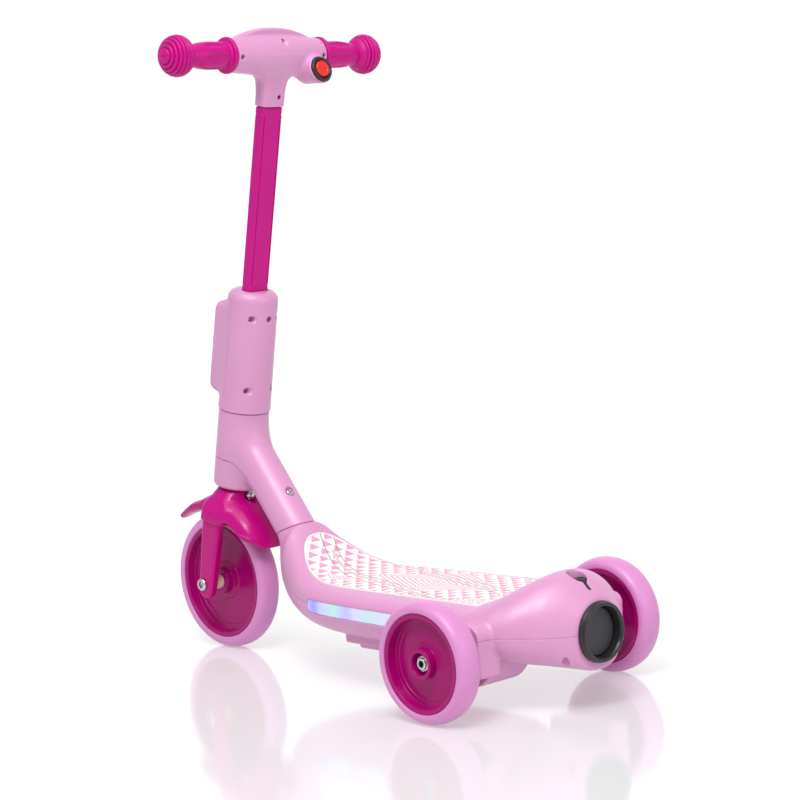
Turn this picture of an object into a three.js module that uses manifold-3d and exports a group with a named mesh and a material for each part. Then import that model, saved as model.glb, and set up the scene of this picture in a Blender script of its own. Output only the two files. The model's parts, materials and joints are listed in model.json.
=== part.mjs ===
// Toddler's three-wheeled electric scooter: one steered wheel in front, two behind, a padded deck,
// a raked handlebar column and a bubble port in the tail. Millimetres, +X forward, +Y left, +Z up.
import * as THREE from 'three';
import { mergeVertices } from 'three/addons/utils/BufferGeometryUtils.js';
import Module from 'manifold-3d';

const wasm = await Module();
wasm.setup();

// ---- driving dimensions ----
const REAR_AXLE_X = -225.9;      // puts the origin under the middle of the scooter
const WHEELBASE = 483;
const GAP = 0.35;                // clearance between neighbouring pieces
const WALL = 3;                  // moulded shell thickness

const REAR_WHEEL = { radius: 63.5, rim: 51.8, width: 29.5, hub: 15.9, y: 139.5 };
const FRONT_WHEEL = { radius: 81.4, rim: 68, width: 29, hub: 15.5 };
const AXLE_R = 5;

const RAKE = THREE.MathUtils.degToRad(12.35);   // the column leans back
const STEER_GROUND_X = 497.35;                  // where the steering axis meets the ground
const HEAD = { bottom: 203, top: 296.5, r: 29.8 };
const COVER = { bottom: 297.6, top: 441, rBottom: 30.9, rTop: 29.6, bulgeHalf: 25, bulgeFront: 42, split: 4 };
const COLUMN = { x: -2, depth: 16, width: 30.5, corner: 5, foot: 320, head: 701, wall: 2.5, recess: 0.5,
  lowerCollar: 448, upperCollar: 646.5 };
const BAR = { s: 713.8, r: 9, half: 128, housingHalf: 66, rMid: 22.8, rEnd: 19 };
const GRIP = { inner: 66.6, flange: 20.5, neck: 12.7, waist: 15.4, ballR: 23, ballY: 139.5, ballHalf: 19 };
const BUTTON = { y: -45, x: -36, s: 702.6, pitch: THREE.MathUtils.degToRad(26.4), ring: 14.4, cap: 9.5 };
const FORK = { inner: 28.3, outer: 40, shoulder: 166, bridgeTop: 184 };
const SEAM_TILT = THREE.MathUtils.degToRad(21);  // slope of the joint between neck and deck
const NECK = { x: 354, z: 153, lean: THREE.MathUtils.degToRad(38.6), r: 23, length: 142 };
const MAT = { rear: 0, half: 67.5, thickness: 1.6, proud: 0.6, flatTop: 110.2, flatEnd: 238 };
const STRIP = { rear: 96, front: 247, z: 87.6, height: 14 };
const PORT = { x: -107, z: 81, r: 31.3, bore: 26, proud: 8 };
const DRUM = { x: -6, z: 63.5, r: 37.5, inner: 29, outer: 90 };
const TUBE = { head: 17, bore: 14.2, neck: 13, steerer: 12 };

// ---- colours and materials ----
const finish = (color, roughness, metalness = 0) =>
  new THREE.MeshStandardMaterial({ color, roughness, metalness });
const PINK = finish(0xf3b9dd, 0.42);
const MAGENTA = finish(0xc8148c, 0.35);
const SOFT_MAGENTA = finish(0xe01a9a, 0.55);
const TYRE_PINK = finish(0xe09ad8, 0.4);
const MAT_WHITE = finish(0xfaf4f2, 0.7);
const STEEL = finish(0xc9cbd0, 0.28, 1);
const DARK_GREY = finish(0x3a3a3e, 0.5);
const RED = finish(0xe02a22, 0.35);
const LIGHT = finish(0xdfe8ff, 0.25);
const GREEN_BOARD = finish(0x1d6b3c, 0.6);
const CREAM = finish(0xf0e3d0, 0.5);
const BATTERY_GREY = finish(0x5a5f66, 0.6);
const NATURAL = finish(0xe8e6df, 0.45);

// ---- shape helpers ----
function solid(geometry) {
  geometry.deleteAttribute('normal');
  geometry.deleteAttribute('uv');
  const merged = mergeVertices(geometry, 1e-4);
  const index = merged.index.array;
  const kept = [];
  for (let i = 0; i < index.length; i += 3) {
    const [a, b, c] = [index[i], index[i + 1], index[i + 2]];
    if (a !== b && b !== c && c !== a) kept.push(a, b, c);
  }
  const vertProperties = Float32Array.from(merged.attributes.position.array);
  return new wasm.Manifold(new wasm.Mesh({ numProp: 3, vertProperties, triVerts: Uint32Array.from(kept) }));
}

function surface(manifold) {
  const mesh = manifold.getMesh();
  const geometry = new THREE.BufferGeometry();
  geometry.setAttribute('position', new THREE.BufferAttribute(mesh.vertProperties, mesh.numProp));
  geometry.setIndex(new THREE.BufferAttribute(mesh.triVerts, 1));
  geometry.computeVertexNormals();
  return geometry;
}

const union = (...parts) => parts.reduce((sum, part) => sum.add(part));
const move = (geometry, x, y, z) => geometry.translate(x, y, z);

// a smooth, never overshooting curve through [position, value] points
function along(line, x) {
  const last = line.length - 1;
  if (x <= line[0][0]) return line[0][1];
  if (x >= line[last][0]) return line[last][1];
  const slope = line.slice(1).map((p, i) => (p[1] - line[i][1]) / (p[0] - line[i][0]));
  const tangent = (i) => {
    if (i === 0) return slope[0];
    if (i === last) return slope[last - 1];
    const product = slope[i - 1] * slope[i];
    return product <= 0 ? 0 : (2 * product) / (slope[i - 1] + slope[i]);
  };
  let i = 0;
  while (x > line[i + 1][0]) i += 1;
  const span = line[i + 1][0] - line[i][0];
  const t = (x - line[i][0]) / span;
  const rise = line[i + 1][1] - line[i][1];
  const [m0, m1] = [tangent(i) * span, tangent(i + 1) * span];
  return line[i][1] + m0 * t + (3 * rise - 2 * m0 - m1) * t * t + (m0 + m1 - 2 * rise) * t * t * t;
}

// a closed skin over rings of equal point count, with a fan on each end
function loft(rings) {
  const count = rings[0].length;
  const points = rings.flat();
  const middle = (ring) => ring.reduce((sum, p) => sum.add(p), new THREE.Vector3()).divideScalar(count);
  const index = [];
  for (let r = 0; r < rings.length - 1; r += 1) {
    for (let k = 0; k < count; k += 1) {
      const a = r * count + k;
      const b = r * count + ((k + 1) % count);
      index.push(a, b, a + count, b, b + count, a + count);
    }
  }
  const ends = [[0, true], [rings.length - 1, false]];
  for (const [r, flip] of ends) {
    const centre = points.push(middle(rings[r])) - 1;
    for (let k = 0; k < count; k += 1) {
      const a = r * count + k;
      const b = r * count + ((k + 1) % count);
      index.push(centre, ...(flip ? [b, a] : [a, b]));
    }
  }
  const geometry = new THREE.BufferGeometry().setFromPoints(points);
  geometry.setIndex(index);
  const shape = solid(geometry);
  return shape.volume() > 0 ? shape : solid(turnedOut(points, index));
}

function turnedOut(points, index) {
  const flipped = [];
  for (let i = 0; i < index.length; i += 3) flipped.push(index[i], index[i + 2], index[i + 1]);
  const geometry = new THREE.BufferGeometry().setFromPoints(points);
  geometry.setIndex(flipped);
  return geometry;
}

const bend = (value, exponent) => Math.sign(value) * Math.abs(value) ** (2 / exponent);

// rounded outline in [u, v] with half sizes a, b and a squareness exponent
function roundedRing(a, b, exponent, count = 20) {
  return Array.from({ length: count }, (_, k) => {
    const t = (k / count) * Math.PI * 2;
    return [a * bend(Math.cos(t), exponent), b * bend(Math.sin(t), exponent)];
  });
}

function lathe(profile, segments) {
  return new THREE.LatheGeometry(profile.map(([r, h]) => new THREE.Vector2(r, h)), segments);
}

// round solids: about the Y axis (wheels, bars) and about the Z axis (column parts)
const aboutY = (profile, segments = 28) => solid(lathe(profile, segments));
const aboutZ = (profile, segments = 28) => solid(lathe(profile, segments).rotateX(Math.PI / 2));
const rodY = (r, y0, y1, segments = 20) => aboutY([[0, y0], [r, y0], [r, y1], [0, y1]], segments);
const rodZ = (r, z0, z1, segments = 20) => aboutZ([[0, z0], [r, z0], [r, z1], [0, z1]], segments);
const tubeY = (r, bore, y0, y1, segments = 16) =>
  aboutY([[bore, y0], [r, y0], [r, y1], [bore, y1], [bore, y0]], segments);
function block(x0, x1, y0, y1, z0, z1) {
  const box = new THREE.BoxGeometry(x1 - x0, y1 - y0, z1 - z0);
  return solid(move(box, (x0 + x1) / 2, (y0 + y1) / 2, (z0 + z1) / 2));
}

function outline(points) {
  return new THREE.Shape(points.map(([u, v]) => new THREE.Vector2(u, v)));
}

// an outline in X and Z pushed along Y, and one in X and Y pushed along Z
function plateY(shape, y0, y1, curveSegments = 8) {
  const geometry = new THREE.ExtrudeGeometry(shape, { depth: y1 - y0, bevelEnabled: false, curveSegments });
  return solid(move(geometry.rotateX(Math.PI / 2), 0, y1, 0));
}
function plateZ(shape, z0, z1, curveSegments = 8) {
  const geometry = new THREE.ExtrudeGeometry(shape, { depth: z1 - z0, bevelEnabled: false, curveSegments });
  return solid(move(geometry, 0, 0, z0));
}

// ---- the tree of named pieces ----
const scooter = new THREE.Group();
const chassis = new THREE.Group();
chassis.position.set(REAR_AXLE_X, 0, 0);
const steering = new THREE.Group();
steering.position.set(STEER_GROUND_X, 0, 0);
steering.rotation.y = -RAKE;
chassis.add(steering);
scooter.add(chassis);

function piece(parent, name, shape, material) {
  const mesh = new THREE.Mesh(surface(shape), material);
  mesh.name = name;
  parent.add(mesh);
  return mesh;
}

// a point given along the wheelbase, seen from the steering axis
function steerPoint(x, z) {
  const dx = x - STEER_GROUND_X;
  return [dx * Math.cos(RAKE) + z * Math.sin(RAKE), -dx * Math.sin(RAKE) + z * Math.cos(RAKE)];
}
const [WHEEL_X, WHEEL_S] = steerPoint(WHEELBASE, FRONT_WHEEL.radius);

// ---- deck: one long boat shape, described by lines along its length ----
const TOP_LINE = [[-107, 121], [-97, 131], [-80, 141], [-62, 139.5], [-40, 131], [-15, 116], [2, 110],
  [60, 110], [235, 110], [255, 112], [269, 115.5], [282, 121], [293, 128], [306, 138.5], [320, 149.5],
  [330, 158.5]];
const SEAM_LINE = [[-107, 81], [-50, 82], [0, 84.5], [100, 87], [170, 88.3], [240, 89.5], [300, 92],
  [340, 104], [366, 135]];
const BOTTOM_LINE = [[-107, 41], [-70, 45], [-20, 48], [200, 48.5], [240, 50], [270, 53], [300, 61],
  [325, 74], [341, 88], [352, 104], [360, 120], [366, 134]];
const HALF_LINE = [[-107, 40], [-98, 50], [-75, 71.5], [-52, 88.5], [-32, 97.5], [0, 103], [40, 103],
  [97, 98], [167, 95], [220, 90.5], [258, 79.5], [285, 67.5], [310, 54.8], [330, 43.8], [345, 34.3],
  [356, 24.8], [362, 17], [366, 8]];
const TOP_SQUARE = [[-107, 2], [-60, 2.2], [0, 3.6], [40, 4.2], [220, 4.2], [270, 3.8], [310, 3],
  [366, 2.5]];
const DECK_STATIONS = [-107, -98, -86, -70, -52, -32, -12, 4, 60, 150, 230, 252, 272, 290, 308, 322, 336,
  348, 357, 365];
const NOSE_END = 365;
const PLANE_START = 330;        // forward of this the deck's top lies on the neck's joint plane
const LOWER_SQUARE = 2.5;       // squareness of the section below the joint line

// the plane on which the neck stands, sloping down towards the front
const seamPlane = (x) => NECK.z - (x - NECK.x) * Math.tan(SEAM_TILT);

function deckRing(x, inset, lift, count) {
  const seam = along(SEAM_LINE, x);
  const half = Math.max(along(HALF_LINE, x) - inset, 1);
  const ridge = x > PLANE_START ? seamPlane(x) : along(TOP_LINE, x);
  const up = Math.max(ridge - inset + lift - seam, 1);
  const down = Math.max(seam - along(BOTTOM_LINE, x) - inset, 1);
  return Array.from({ length: count }, (_, k) => {
    const t = (k / count) * Math.PI * 2;
    const exponent = Math.sin(t) >= 0 ? along(TOP_SQUARE, x) : LOWER_SQUARE;
    const height = Math.sin(t) >= 0 ? up : down;
    const [y, z] = [half * bend(Math.cos(t), exponent), height * bend(Math.sin(t), exponent)];
    return new THREE.Vector3(x, y, seam + z);
  });
}

function deckBody(inset, lift = 0, count = 28) {
  const ends = [DECK_STATIONS[0] + inset, NOSE_END - inset * 1.5];
  const inner = DECK_STATIONS.slice(1, -1).filter((x) => x > ends[0] + 2 && x < ends[1] - 2);
  return loft([ends[0], ...inner, ends[1]].map((x) => deckRing(x, inset, lift, count)));
}

// everything above, or below, the joint line of the two deck shells
function sideOfSeam(above) {
  const shift = above ? GAP / 2 : -GAP / 2;
  const edge = [-140, ...DECK_STATIONS, 400].map((x) => [x, along(SEAM_LINE, x) + shift]);
  const far = above ? 300 : -50;
  return plateY(outline([...edge, [400, far], [-140, far]]), -150, 150);
}

// arms beside the rear wheels that carry the axle
function axleArm(side, inset) {
  const shape = new THREE.Shape();
  const [x, top, foot, corner] = [44 - inset, 97.5 - inset, 44 + inset, 12];
  shape.moveTo(-x, foot);
  shape.lineTo(x, foot);
  shape.lineTo(x, top - corner);
  shape.absarc(x - corner, top - corner, corner, 0, Math.PI / 2);
  shape.lineTo(-x + corner, top);
  shape.absarc(-x + corner, top - corner, corner, Math.PI / 2, Math.PI);
  const inner = 80 * side;
  const outer = (112 - inset) * side;
  return plateY(shape, Math.min(inner, outer), Math.max(inner, outer), 6);
}

const NECK_DIR = new THREE.Vector3(Math.sin(NECK.lean), 0, Math.cos(NECK.lean));

// a round bar along the neck, from its foot on the deck, t measured up the neck
function neckBar(r, t0, t1, segments = 28) {
  const geometry = new THREE.CylinderGeometry(r, r, t1 - t0, segments);
  geometry.rotateX(Math.PI / 2).translate(0, 0, (t0 + t1) / 2).rotateY(NECK.lean);
  return solid(move(geometry, NECK.x, 0, NECK.z));
}

function stripOutline(grow) {
  const half = STRIP.height / 2 + grow;
  const [rear, front] = [STRIP.rear - grow, STRIP.front + grow];
  const shape = new THREE.Shape();
  shape.moveTo(rear, STRIP.z - half);
  shape.lineTo(front - half, STRIP.z - half);
  shape.absarc(front - half, STRIP.z, half, -Math.PI / 2, Math.PI / 2);
  shape.lineTo(rear, STRIP.z + half);
  return shape;
}

// outline of the standing mat, seen from above
function matOutline(grow) {
  const right = [[MAT.rear - grow, MAT.half], [150, MAT.half], [187, 67.3], [222, 64.5], [251, 58],
    [269, 52.3], [283, 46.5], [296, 39], [308, 29.5], [316, 18.5], [320, 8]].map(([x, y]) => [x, y + grow]);
  const left = right.map(([x, y]) => [x, -y]).reverse();
  return outline([...right, ...left]);
}

// solids drawn in the steering frame but belonging to the chassis
function raked(geometry) {
  return solid(move(geometry.rotateY(-RAKE), STEER_GROUND_X, 0, 0));
}
const aboutColumn = (profile, segments = 28) => raked(lathe(profile, segments).rotateX(Math.PI / 2));

// a bolt lying along a direction: domed head outside, shank going in
function bolt(at, outward, headR, headH, shankR, length) {
  const profile = [[0, -length], [shankR, -length], [shankR, 0], [headR, 0], [headR, headH * 0.6],
    [headR * 0.7, headH], [0, headH]];
  return pointing(lathe(profile, 12), at, outward);
}
const vec = (x, y, z) => new THREE.Vector3(x, y, z);
function pointing(geometry, at, outward) {
  const turn = new THREE.Quaternion().setFromUnitVectors(vec(0, 1, 0), outward.clone().normalize());
  return solid(move(geometry.applyQuaternion(turn), ...at));
}

// ---- deck shells ----
// everything above the sloping plane on which the neck stands
function abovePlane() {
  const [rear, front, high] = [PLANE_START + 1, 420, 300];
  const line = [[rear, seamPlane(rear)], [front, seamPlane(front)], [front, high], [rear, high]];
  return plateY(outline(line), -60, 60);
}

const STUB_DEPTH = 50;          // how far the neck's stub reaches down into the deck
const deckOuter = deckBody(0).add(neckBar(NECK.r, -STUB_DEPTH, 20)).subtract(abovePlane());
const deckInner = deckBody(WALL, 0, 16).subtract(neckBar(NECK.r + WALL, -26, 20));

const arms = union(axleArm(1, 0), axleArm(-1, 0));
const batteryBox = union(block(24, 216, -58, 58, 44, 60), block(30, 200, -52, 52, 38.5, 60));
const batteryBay = union(block(38, 188, -38, 38, 42.3, 80), block(44, 182, -33, 33, 30, 80));
const doorSeat = block(36, 190, -42, 42, 30, 41.5);

const DRUM_WALL = 2.5;
function drumBody(grow) {
  const { r, inner, outer } = DRUM;
  const profile = [[0, inner - grow], [r - 6 + grow, inner - grow], [r - 2 + grow, inner + 2],
    [r + grow, inner + 6], [r + grow, outer + grow], [0, outer + grow]];
  return solid(move(lathe(profile, 40), DRUM.x, 0, DRUM.z));
}
const axleHole = solid(move(lathe([[0, -118], [AXLE_R + GAP, -118], [AXLE_R + GAP, 118], [0, 118]], 20),
  0, 0, REAR_WHEEL.radius));
const aboutX = (profile, segments = 24) =>
  solid(move(lathe(profile, segments).rotateZ(Math.PI / 2), 0, 0, PORT.z));
const portHoleR = PORT.r - 2 + GAP;
const portHole = aboutX([[0, 90], [portHoleR, 90], [portHoleR, 130], [0, 130]]);
const steelHole = neckBar(TUBE.neck + GAP, -46, 20, 20);
const stripHoles = union(plateY(stripOutline(GAP), 60, 130), plateY(stripOutline(GAP), -130, -60));
const matPocket = plateZ(matOutline(GAP), 90, 180).subtract(deckBody(0, -MAT.thickness - GAP));

// keyhole in the tail: a round opening with a narrow slot behind it
const KEYHOLE = { x: -80, r: 10.5, slot: 2.6, slotEnd: -98 };
function keyhole() {
  const round = new THREE.CylinderGeometry(KEYHOLE.r, KEYHOLE.r, 24, 24).rotateX(Math.PI / 2);
  return union(solid(move(round, KEYHOLE.x, 0, 142)),
    block(KEYHOLE.slotEnd, KEYHOLE.x, -KEYHOLE.slot, KEYHOLE.slot, 118, 154));
}

const hollowDeck = deckOuter.subtract(deckInner);
const commonCuts = union(axleHole, portHole, steelHole, stripHoles);
function tailScrew(grow) {
  const profile = [[0, -4], [3 + grow, -4], [3 + grow, 0], [1.4 + grow, 0.01], [1.4 + grow, 6.5], [0, 6.5]];
  return solid(move(lathe(profile, 12).rotateX(Math.PI / 2), -74, 0, 49.5 - grow));
}

piece(chassis, 'deck_upper_shell', union(hollowDeck, arms.subtract(deckInner)).intersect(sideOfSeam(true))
  .subtract(commonCuts).subtract(keyhole()).subtract(matPocket), PINK);
piece(chassis, 'deck_lower_shell', union(hollowDeck, union(arms, batteryBox).subtract(deckInner))
  .intersect(sideOfSeam(false)).subtract(commonCuts).subtract(batteryBay).subtract(doorSeat)
  .subtract(drumBody(GAP)).subtract(tailScrew(GAP)), PINK);

piece(chassis, 'deck_mat', plateZ(matOutline(0), 90, 180)
  .intersect(deckBody(0, MAT.proud)).subtract(deckBody(0, MAT.proud - MAT.thickness))
  .subtract(block(-20, MAT.flatEnd, -80, 80, MAT.flatTop, 130)), MAT_WHITE);

// ---- light strips: clear lenses on the joint line with a board of lamps behind each ----
for (const [side, name] of [[1, 'left'], [-1, 'right']]) {
  const reach = [Math.min(60 * side, 130 * side), Math.max(60 * side, 130 * side)];
  const lens = plateY(stripOutline(0), ...reach).intersect(deckBody(0)).subtract(deckBody(2.4));
  piece(chassis, `light_strip_${name}`, lens, LIGHT);
  const y = 79.4 * side;
  const board = block(STRIP.rear + 10, STRIP.front - 33, y - 0.8, y + 0.8, STRIP.z - 4, STRIP.z + 4);
  piece(chassis, `led_board_${name}`, board, GREEN_BOARD);
}

// ---- under the deck ----
piece(chassis, 'battery_door', block(36 + GAP, 190 - GAP, -42 + GAP, 42 - GAP, 38.5, 41.15)
  .subtract(rodZ(3, 30, 39.7, 16).translate(184, 0, 0)), PINK);
piece(chassis, 'battery_door_screw', solid(move(lathe([[0, 0], [2.4, 0], [2.4, 1.0], [0, 1.0]], 16)
  .rotateX(Math.PI / 2), 184, 0, 38.6)), STEEL);
piece(chassis, 'battery_pack', block(48, 178, -30, 30, 41.5, 74), BATTERY_GREY);
function gearboxHollow() {
  const { r, inner, outer } = DRUM;
  return solid(move(lathe([[0, inner + DRUM_WALL], [r - DRUM_WALL, inner + 6], [r - DRUM_WALL, outer + 1],
    [0, outer + 1]], 28), DRUM.x, 0, DRUM.z));
}
piece(chassis, 'gearbox_housing', drumBody(0).subtract(axleHole).subtract(gearboxHollow()), PINK);

piece(chassis, 'drive_motor', rodY(11, 38, 80).translate(-24, 0, DRUM.z), STEEL);
piece(chassis, 'control_board', block(196, 222, -30, 30, 60, 61.6), GREEN_BOARD);

// bubble maker in the tail: a grey pod under the keyhole and a two-step ring facing backwards
piece(chassis, 'bubble_unit', aboutX([[0, 60], [22, 60], [24, 64], [24, 93], [0, 93]])
  .add(rodZ(13, PORT.z, 127).translate(KEYHOLE.x, 0, 0)), DARK_GREY);
const RING = { foot: 97, seat: -PORT.x + GAP, step: 111, mouth: -PORT.x + PORT.proud };
const portRing = aboutX([[PORT.bore, RING.foot], [PORT.r - 2, RING.foot], [PORT.r - 2, RING.seat],
  [PORT.r + 0.7, RING.seat], [PORT.r + 0.7, RING.step], [PORT.r - 0.6, RING.step],
  [PORT.r - 0.6, RING.mouth], [PORT.bore, RING.mouth], [PORT.bore, RING.foot]]);
const discR = PORT.bore - GAP;
const portDisc = aboutX([[0, 98], [discR, 98], [discR, 103], [22, 104.5], [0, 104.5]]);
piece(chassis, 'port_ring', portRing, DARK_GREY);
piece(chassis, 'port_disc', portDisc, DARK_GREY);
piece(chassis, 'tail_screw', tailScrew(0), STEEL);

// ---- rear axle and its fastenings ----
const hexNut = (y0, y1) => rodY(9, y0, y1, 6).subtract(rodY(AXLE_R + GAP, y0 - 1, y1 + 1, 16));
const REAR_Z = REAR_WHEEL.radius;
piece(chassis, 'rear_axle', rodY(AXLE_R, -152, 152).translate(0, 0, REAR_Z), STEEL);
for (const [side, name] of [[1, 'left'], [-1, 'right']]) {
  const between = (a, b) => [Math.min(a * side, b * side), Math.max(a * side, b * side)];
  const [s0, s1] = between(112 + GAP, REAR_WHEEL.y - 14 - GAP);
  piece(chassis, `axle_spacer_${name}`, tubeY(9, AXLE_R + GAP, s0, s1).translate(0, 0, REAR_Z), CREAM);
  const [n0, n1] = between(REAR_WHEEL.y + 5 + GAP, REAR_WHEEL.y + 11.5);
  piece(chassis, `axle_nut_${name}`, hexNut(n0, n1).translate(0, 0, REAR_Z), STEEL);
}

// ---- wheels ----
function wheel(parent, name, size, x, y, z, outside) {
  const group = new THREE.Group();
  group.name = name;
  group.position.set(x, y, z);
  group.rotation.y = parent === steering ? RAKE : 0;
  parent.add(group);
  const { radius, rim, width, hub } = size;
  const w = width / 2;
  const tyre = [[rim + GAP, -w], [radius - 6, -w + 0.6], [radius - 1.6, -w + 4], [radius, -w + 9],
    [radius, w - 9], [radius - 1.6, w - 4], [radius - 6, w - 0.6], [rim + GAP, w], [rim + GAP, -w]];
  const lip = w - 1;
  const recess = outside === 0 ? [[AXLE_R + GAP, 14]] : [[11.5, 14], [11.5, 5], [AXLE_R + GAP, 5]];
  const bore = outside < 0 ? recess.map(([r, h]) => [r, -h]).reverse() : recess;
  const far = outside < 0 ? [[AXLE_R + GAP, 14]] : [[AXLE_R + GAP, -14]];
  const [low, high] = outside < 0 ? [bore, far] : [far, bore];
  const hubProfile = [low[low.length - 1], [hub, -14], [hub, -2.4], [rim - 5.5, -1.4], [rim - 4.5, -lip],
    [rim, -lip], [rim, lip], [rim - 4.5, lip], [rim - 5.5, 1.4], [hub, 2.4], [hub, 14], ...high];
  const closed = outside < 0 ? [...low, ...hubProfile.slice(1)] : hubProfile;
  piece(group, `${name.replace('wheel', 'tyre')}`, aboutY(tyre, 28), TYRE_PINK);
  piece(group, `${name.replace('wheel', 'hub')}`, aboutY([...closed, closed[0]], 28), MAGENTA);
}
wheel(chassis, 'rear_left_wheel', REAR_WHEEL, 0, REAR_WHEEL.y, REAR_Z, 1);
wheel(chassis, 'rear_right_wheel', REAR_WHEEL, 0, -REAR_WHEEL.y, REAR_Z, -1);
wheel(steering, 'front_wheel', FRONT_WHEEL, WHEEL_X, 0, WHEEL_S, 0);

// ---- neck and head: a welded steel frame inside two moulded covers ----
const sleeve = (bore, r, s0, s1) => aboutColumn([[bore, s0], [r, s0], [r, s1], [bore, s1], [bore, s0]], 20);
const headRod = (r) => aboutColumn([[0, HEAD.bottom - 5], [r, HEAD.bottom - 5], [r, HEAD.top + 5],
  [0, HEAD.top + 5]], 20);
const steelTube = sleeve(TUBE.bore, TUBE.head, HEAD.bottom + 2, HEAD.top - 2);
const headBore = headRod(TUBE.head - 0.5);
const headHole = headRod(TUBE.head + GAP);
const NECK_BOLT = { at: [358.9, 0, 196.3], outward: vec(-0.78, 0, 0.625) };
const neckBolt = (grow) =>
  bolt(NECK_BOLT.at, NECK_BOLT.outward, 5.5 + grow, 3 + grow, 2.5 + grow, 20 + grow);
piece(chassis, 'steel_frame', steelTube.add(neckBar(TUBE.neck, -45, 118, 20).subtract(headBore))
  .subtract(neckBar(TUBE.neck - 2, -46, 90, 16)).subtract(neckBolt(GAP)), STEEL);

const headCover = aboutColumn([[0, HEAD.bottom], [HEAD.r - 4, HEAD.bottom], [HEAD.r - 1.2, HEAD.bottom + 1.2],
  [HEAD.r, HEAD.bottom + 4], [HEAD.r, HEAD.top - 1], [HEAD.r - 1, HEAD.top], [0, HEAD.top]]);
const neckCover = neckBar(NECK.r, -30, 128).subtract(underPlane());
const neckHole = neckBar(TUBE.neck + GAP, -46, 122, 20);
const coverBody = union(headCover, neckCover).subtract(headHole).subtract(neckHole);

function underPlane() {
  const line = [[280, 100], [420, 100], [420, seamPlane(420) + GAP], [280, seamPlane(280) + GAP]];
  return plateY(outline(line), -60, 60);
}

// the lower cover is everything under the neck's axis and below a line round the head
const NECK_SPLIT = 12;
const NECK_CORNER = 106.5;
function lowerRegion(gap) {
  const [sin, cos] = [Math.sin(NECK.lean), Math.cos(NECK.lean)];
  const drop = NECK_SPLIT + gap;
  const at = (t) => [NECK.x + drop * cos + t * sin, NECK.z - drop * sin + t * cos];
  const [foot, corner] = [at(-60), at(NECK_CORNER)];
  const front = [560, corner[1] + (560 - corner[0]) * Math.tan(RAKE)];
  return plateY(outline([foot, corner, front, [560, 60], [foot[0] + 60, 60]]), -60, 60);
}
piece(chassis, 'neck_upper_cover', coverBody.subtract(lowerRegion(0)).subtract(neckBolt(GAP)), PINK);
piece(chassis, 'neck_lower_cover', coverBody.intersect(lowerRegion(GAP)), PINK);
piece(chassis, 'neck_bolt', neckBolt(0), STEEL);
const BUSH = { end: 2.4, length: 17.6 };
const bush = (s0) => sleeve(TUBE.steerer + GAP, TUBE.bore - GAP, s0, s0 + BUSH.length);
piece(chassis, 'head_bush_lower', bush(HEAD.bottom + BUSH.end), NATURAL);
piece(chassis, 'head_bush_upper', bush(HEAD.top - BUSH.end - BUSH.length), NATURAL);

// ---- fork ----
// an outline in Y and height pushed along X
function plateX(shape, x0, x1, curveSegments = 8) {
  const geometry = new THREE.ExtrudeGeometry(shape, { depth: x1 - x0, bevelEnabled: false, curveSegments });
  return solid(move(geometry.rotateX(Math.PI / 2).rotateZ(Math.PI / 2), x0, 0, 0));
}
const LEG_FOOT = { s: 77.5, r: 11.3 };
function forkBody(grow) {
  const { inner, outer, shoulder, bridgeTop } = FORK;
  const [o, i, top, arch] = [outer + grow, inner - grow, bridgeTop + grow, shoulder + 3 - grow];
  const u = outline([[-o, 40], [-i, 40], [-i, shoulder - 3], [-i + 6, arch], [i - 6, arch], [i, shoulder - 3],
    [i, 40], [o, 40], [o, shoulder], [o - 4, shoulder + 7], [22, top], [-22, top], [-o + 4, shoulder + 7],
    [-o, shoulder]]);
  const [legTop, half] = [190, 15.6 + grow];
  const side = new THREE.Shape();
  side.absarc(0.5, LEG_FOOT.s, LEG_FOOT.r + grow, Math.PI, Math.PI * 2);
  side.lineTo(half, shoulder);
  side.lineTo(half, legTop);
  side.lineTo(-half, legTop);
  side.lineTo(-half, shoulder);
  side.closePath();
  return plateX(u, -20, 20).intersect(plateY(side, -50, 50, 12));
}
const frontAxleHole = rodY(AXLE_R + GAP, -60, 60, 20).translate(WHEEL_X, 0, WHEEL_S);
piece(steering, 'fork', forkBody(0).subtract(frontAxleHole), MAGENTA);
for (const [side, name] of [[1, 'left'], [-1, 'right']]) {
  const [y0, y1] = [Math.min(14.4 * side, 27.9 * side), Math.max(14.4 * side, 27.9 * side)];
  const spacer = tubeY(8.5, AXLE_R + GAP, y0, y1).translate(WHEEL_X, 0, WHEEL_S);
  piece(steering, `front_spacer_${name}`, spacer, CREAM);
}
const boltSeat = FORK.outer + GAP;
const axleBoltHead = aboutY([[0, boltSeat], [7.5, boltSeat], [7.5, 42], [5.5, 44], [3, 44], [3, 42.4],
  [0, 42.4]], 20);
piece(steering, 'front_axle_bolt', rodY(AXLE_R, -45, boltSeat).add(axleBoltHead)
  .translate(WHEEL_X, 0, WHEEL_S), STEEL);
piece(steering, 'front_axle_nut', hexNut(-44.6, -40 - GAP).translate(WHEEL_X, 0, WHEEL_S), STEEL);

// ---- mudguard: crown over the fork, horn in front, curved flap behind ----
const CROWN = [[167, 41.5, 20], [176, 40.5, 20.6], [183, 37, 21], [192, 31, 20.5], [198, 26, 19.6],
  [201.5, 22, 18]];
const crown = loft(CROWN.map(([s, half, depth]) =>
  roundedRing(depth, half, 2.8, 20).map(([x, y]) => vec(x - 2, y, s))));
const HORN = [[462, 192, 166, 17], [490, 187, 165, 17], [514, 178.4, 163, 16], [529, 174.2, 160.2, 15],
  [542, 167.6, 157.2, 12.5], [554, 160.6, 152.6, 9.5], [563, 154.9, 149.8, 6.5], [566.5, 152.4, 150.4, 3.5]];
const horn = loft(HORN.map(([x, upper, lower, half]) =>
  roundedRing(half, (upper - lower) / 2, 2.4, 12).map(([y, h]) => {
    const [sx, ss] = steerPoint(x, (upper + lower) / 2 + h);
    return vec(sx, y, ss);
  })));

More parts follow.
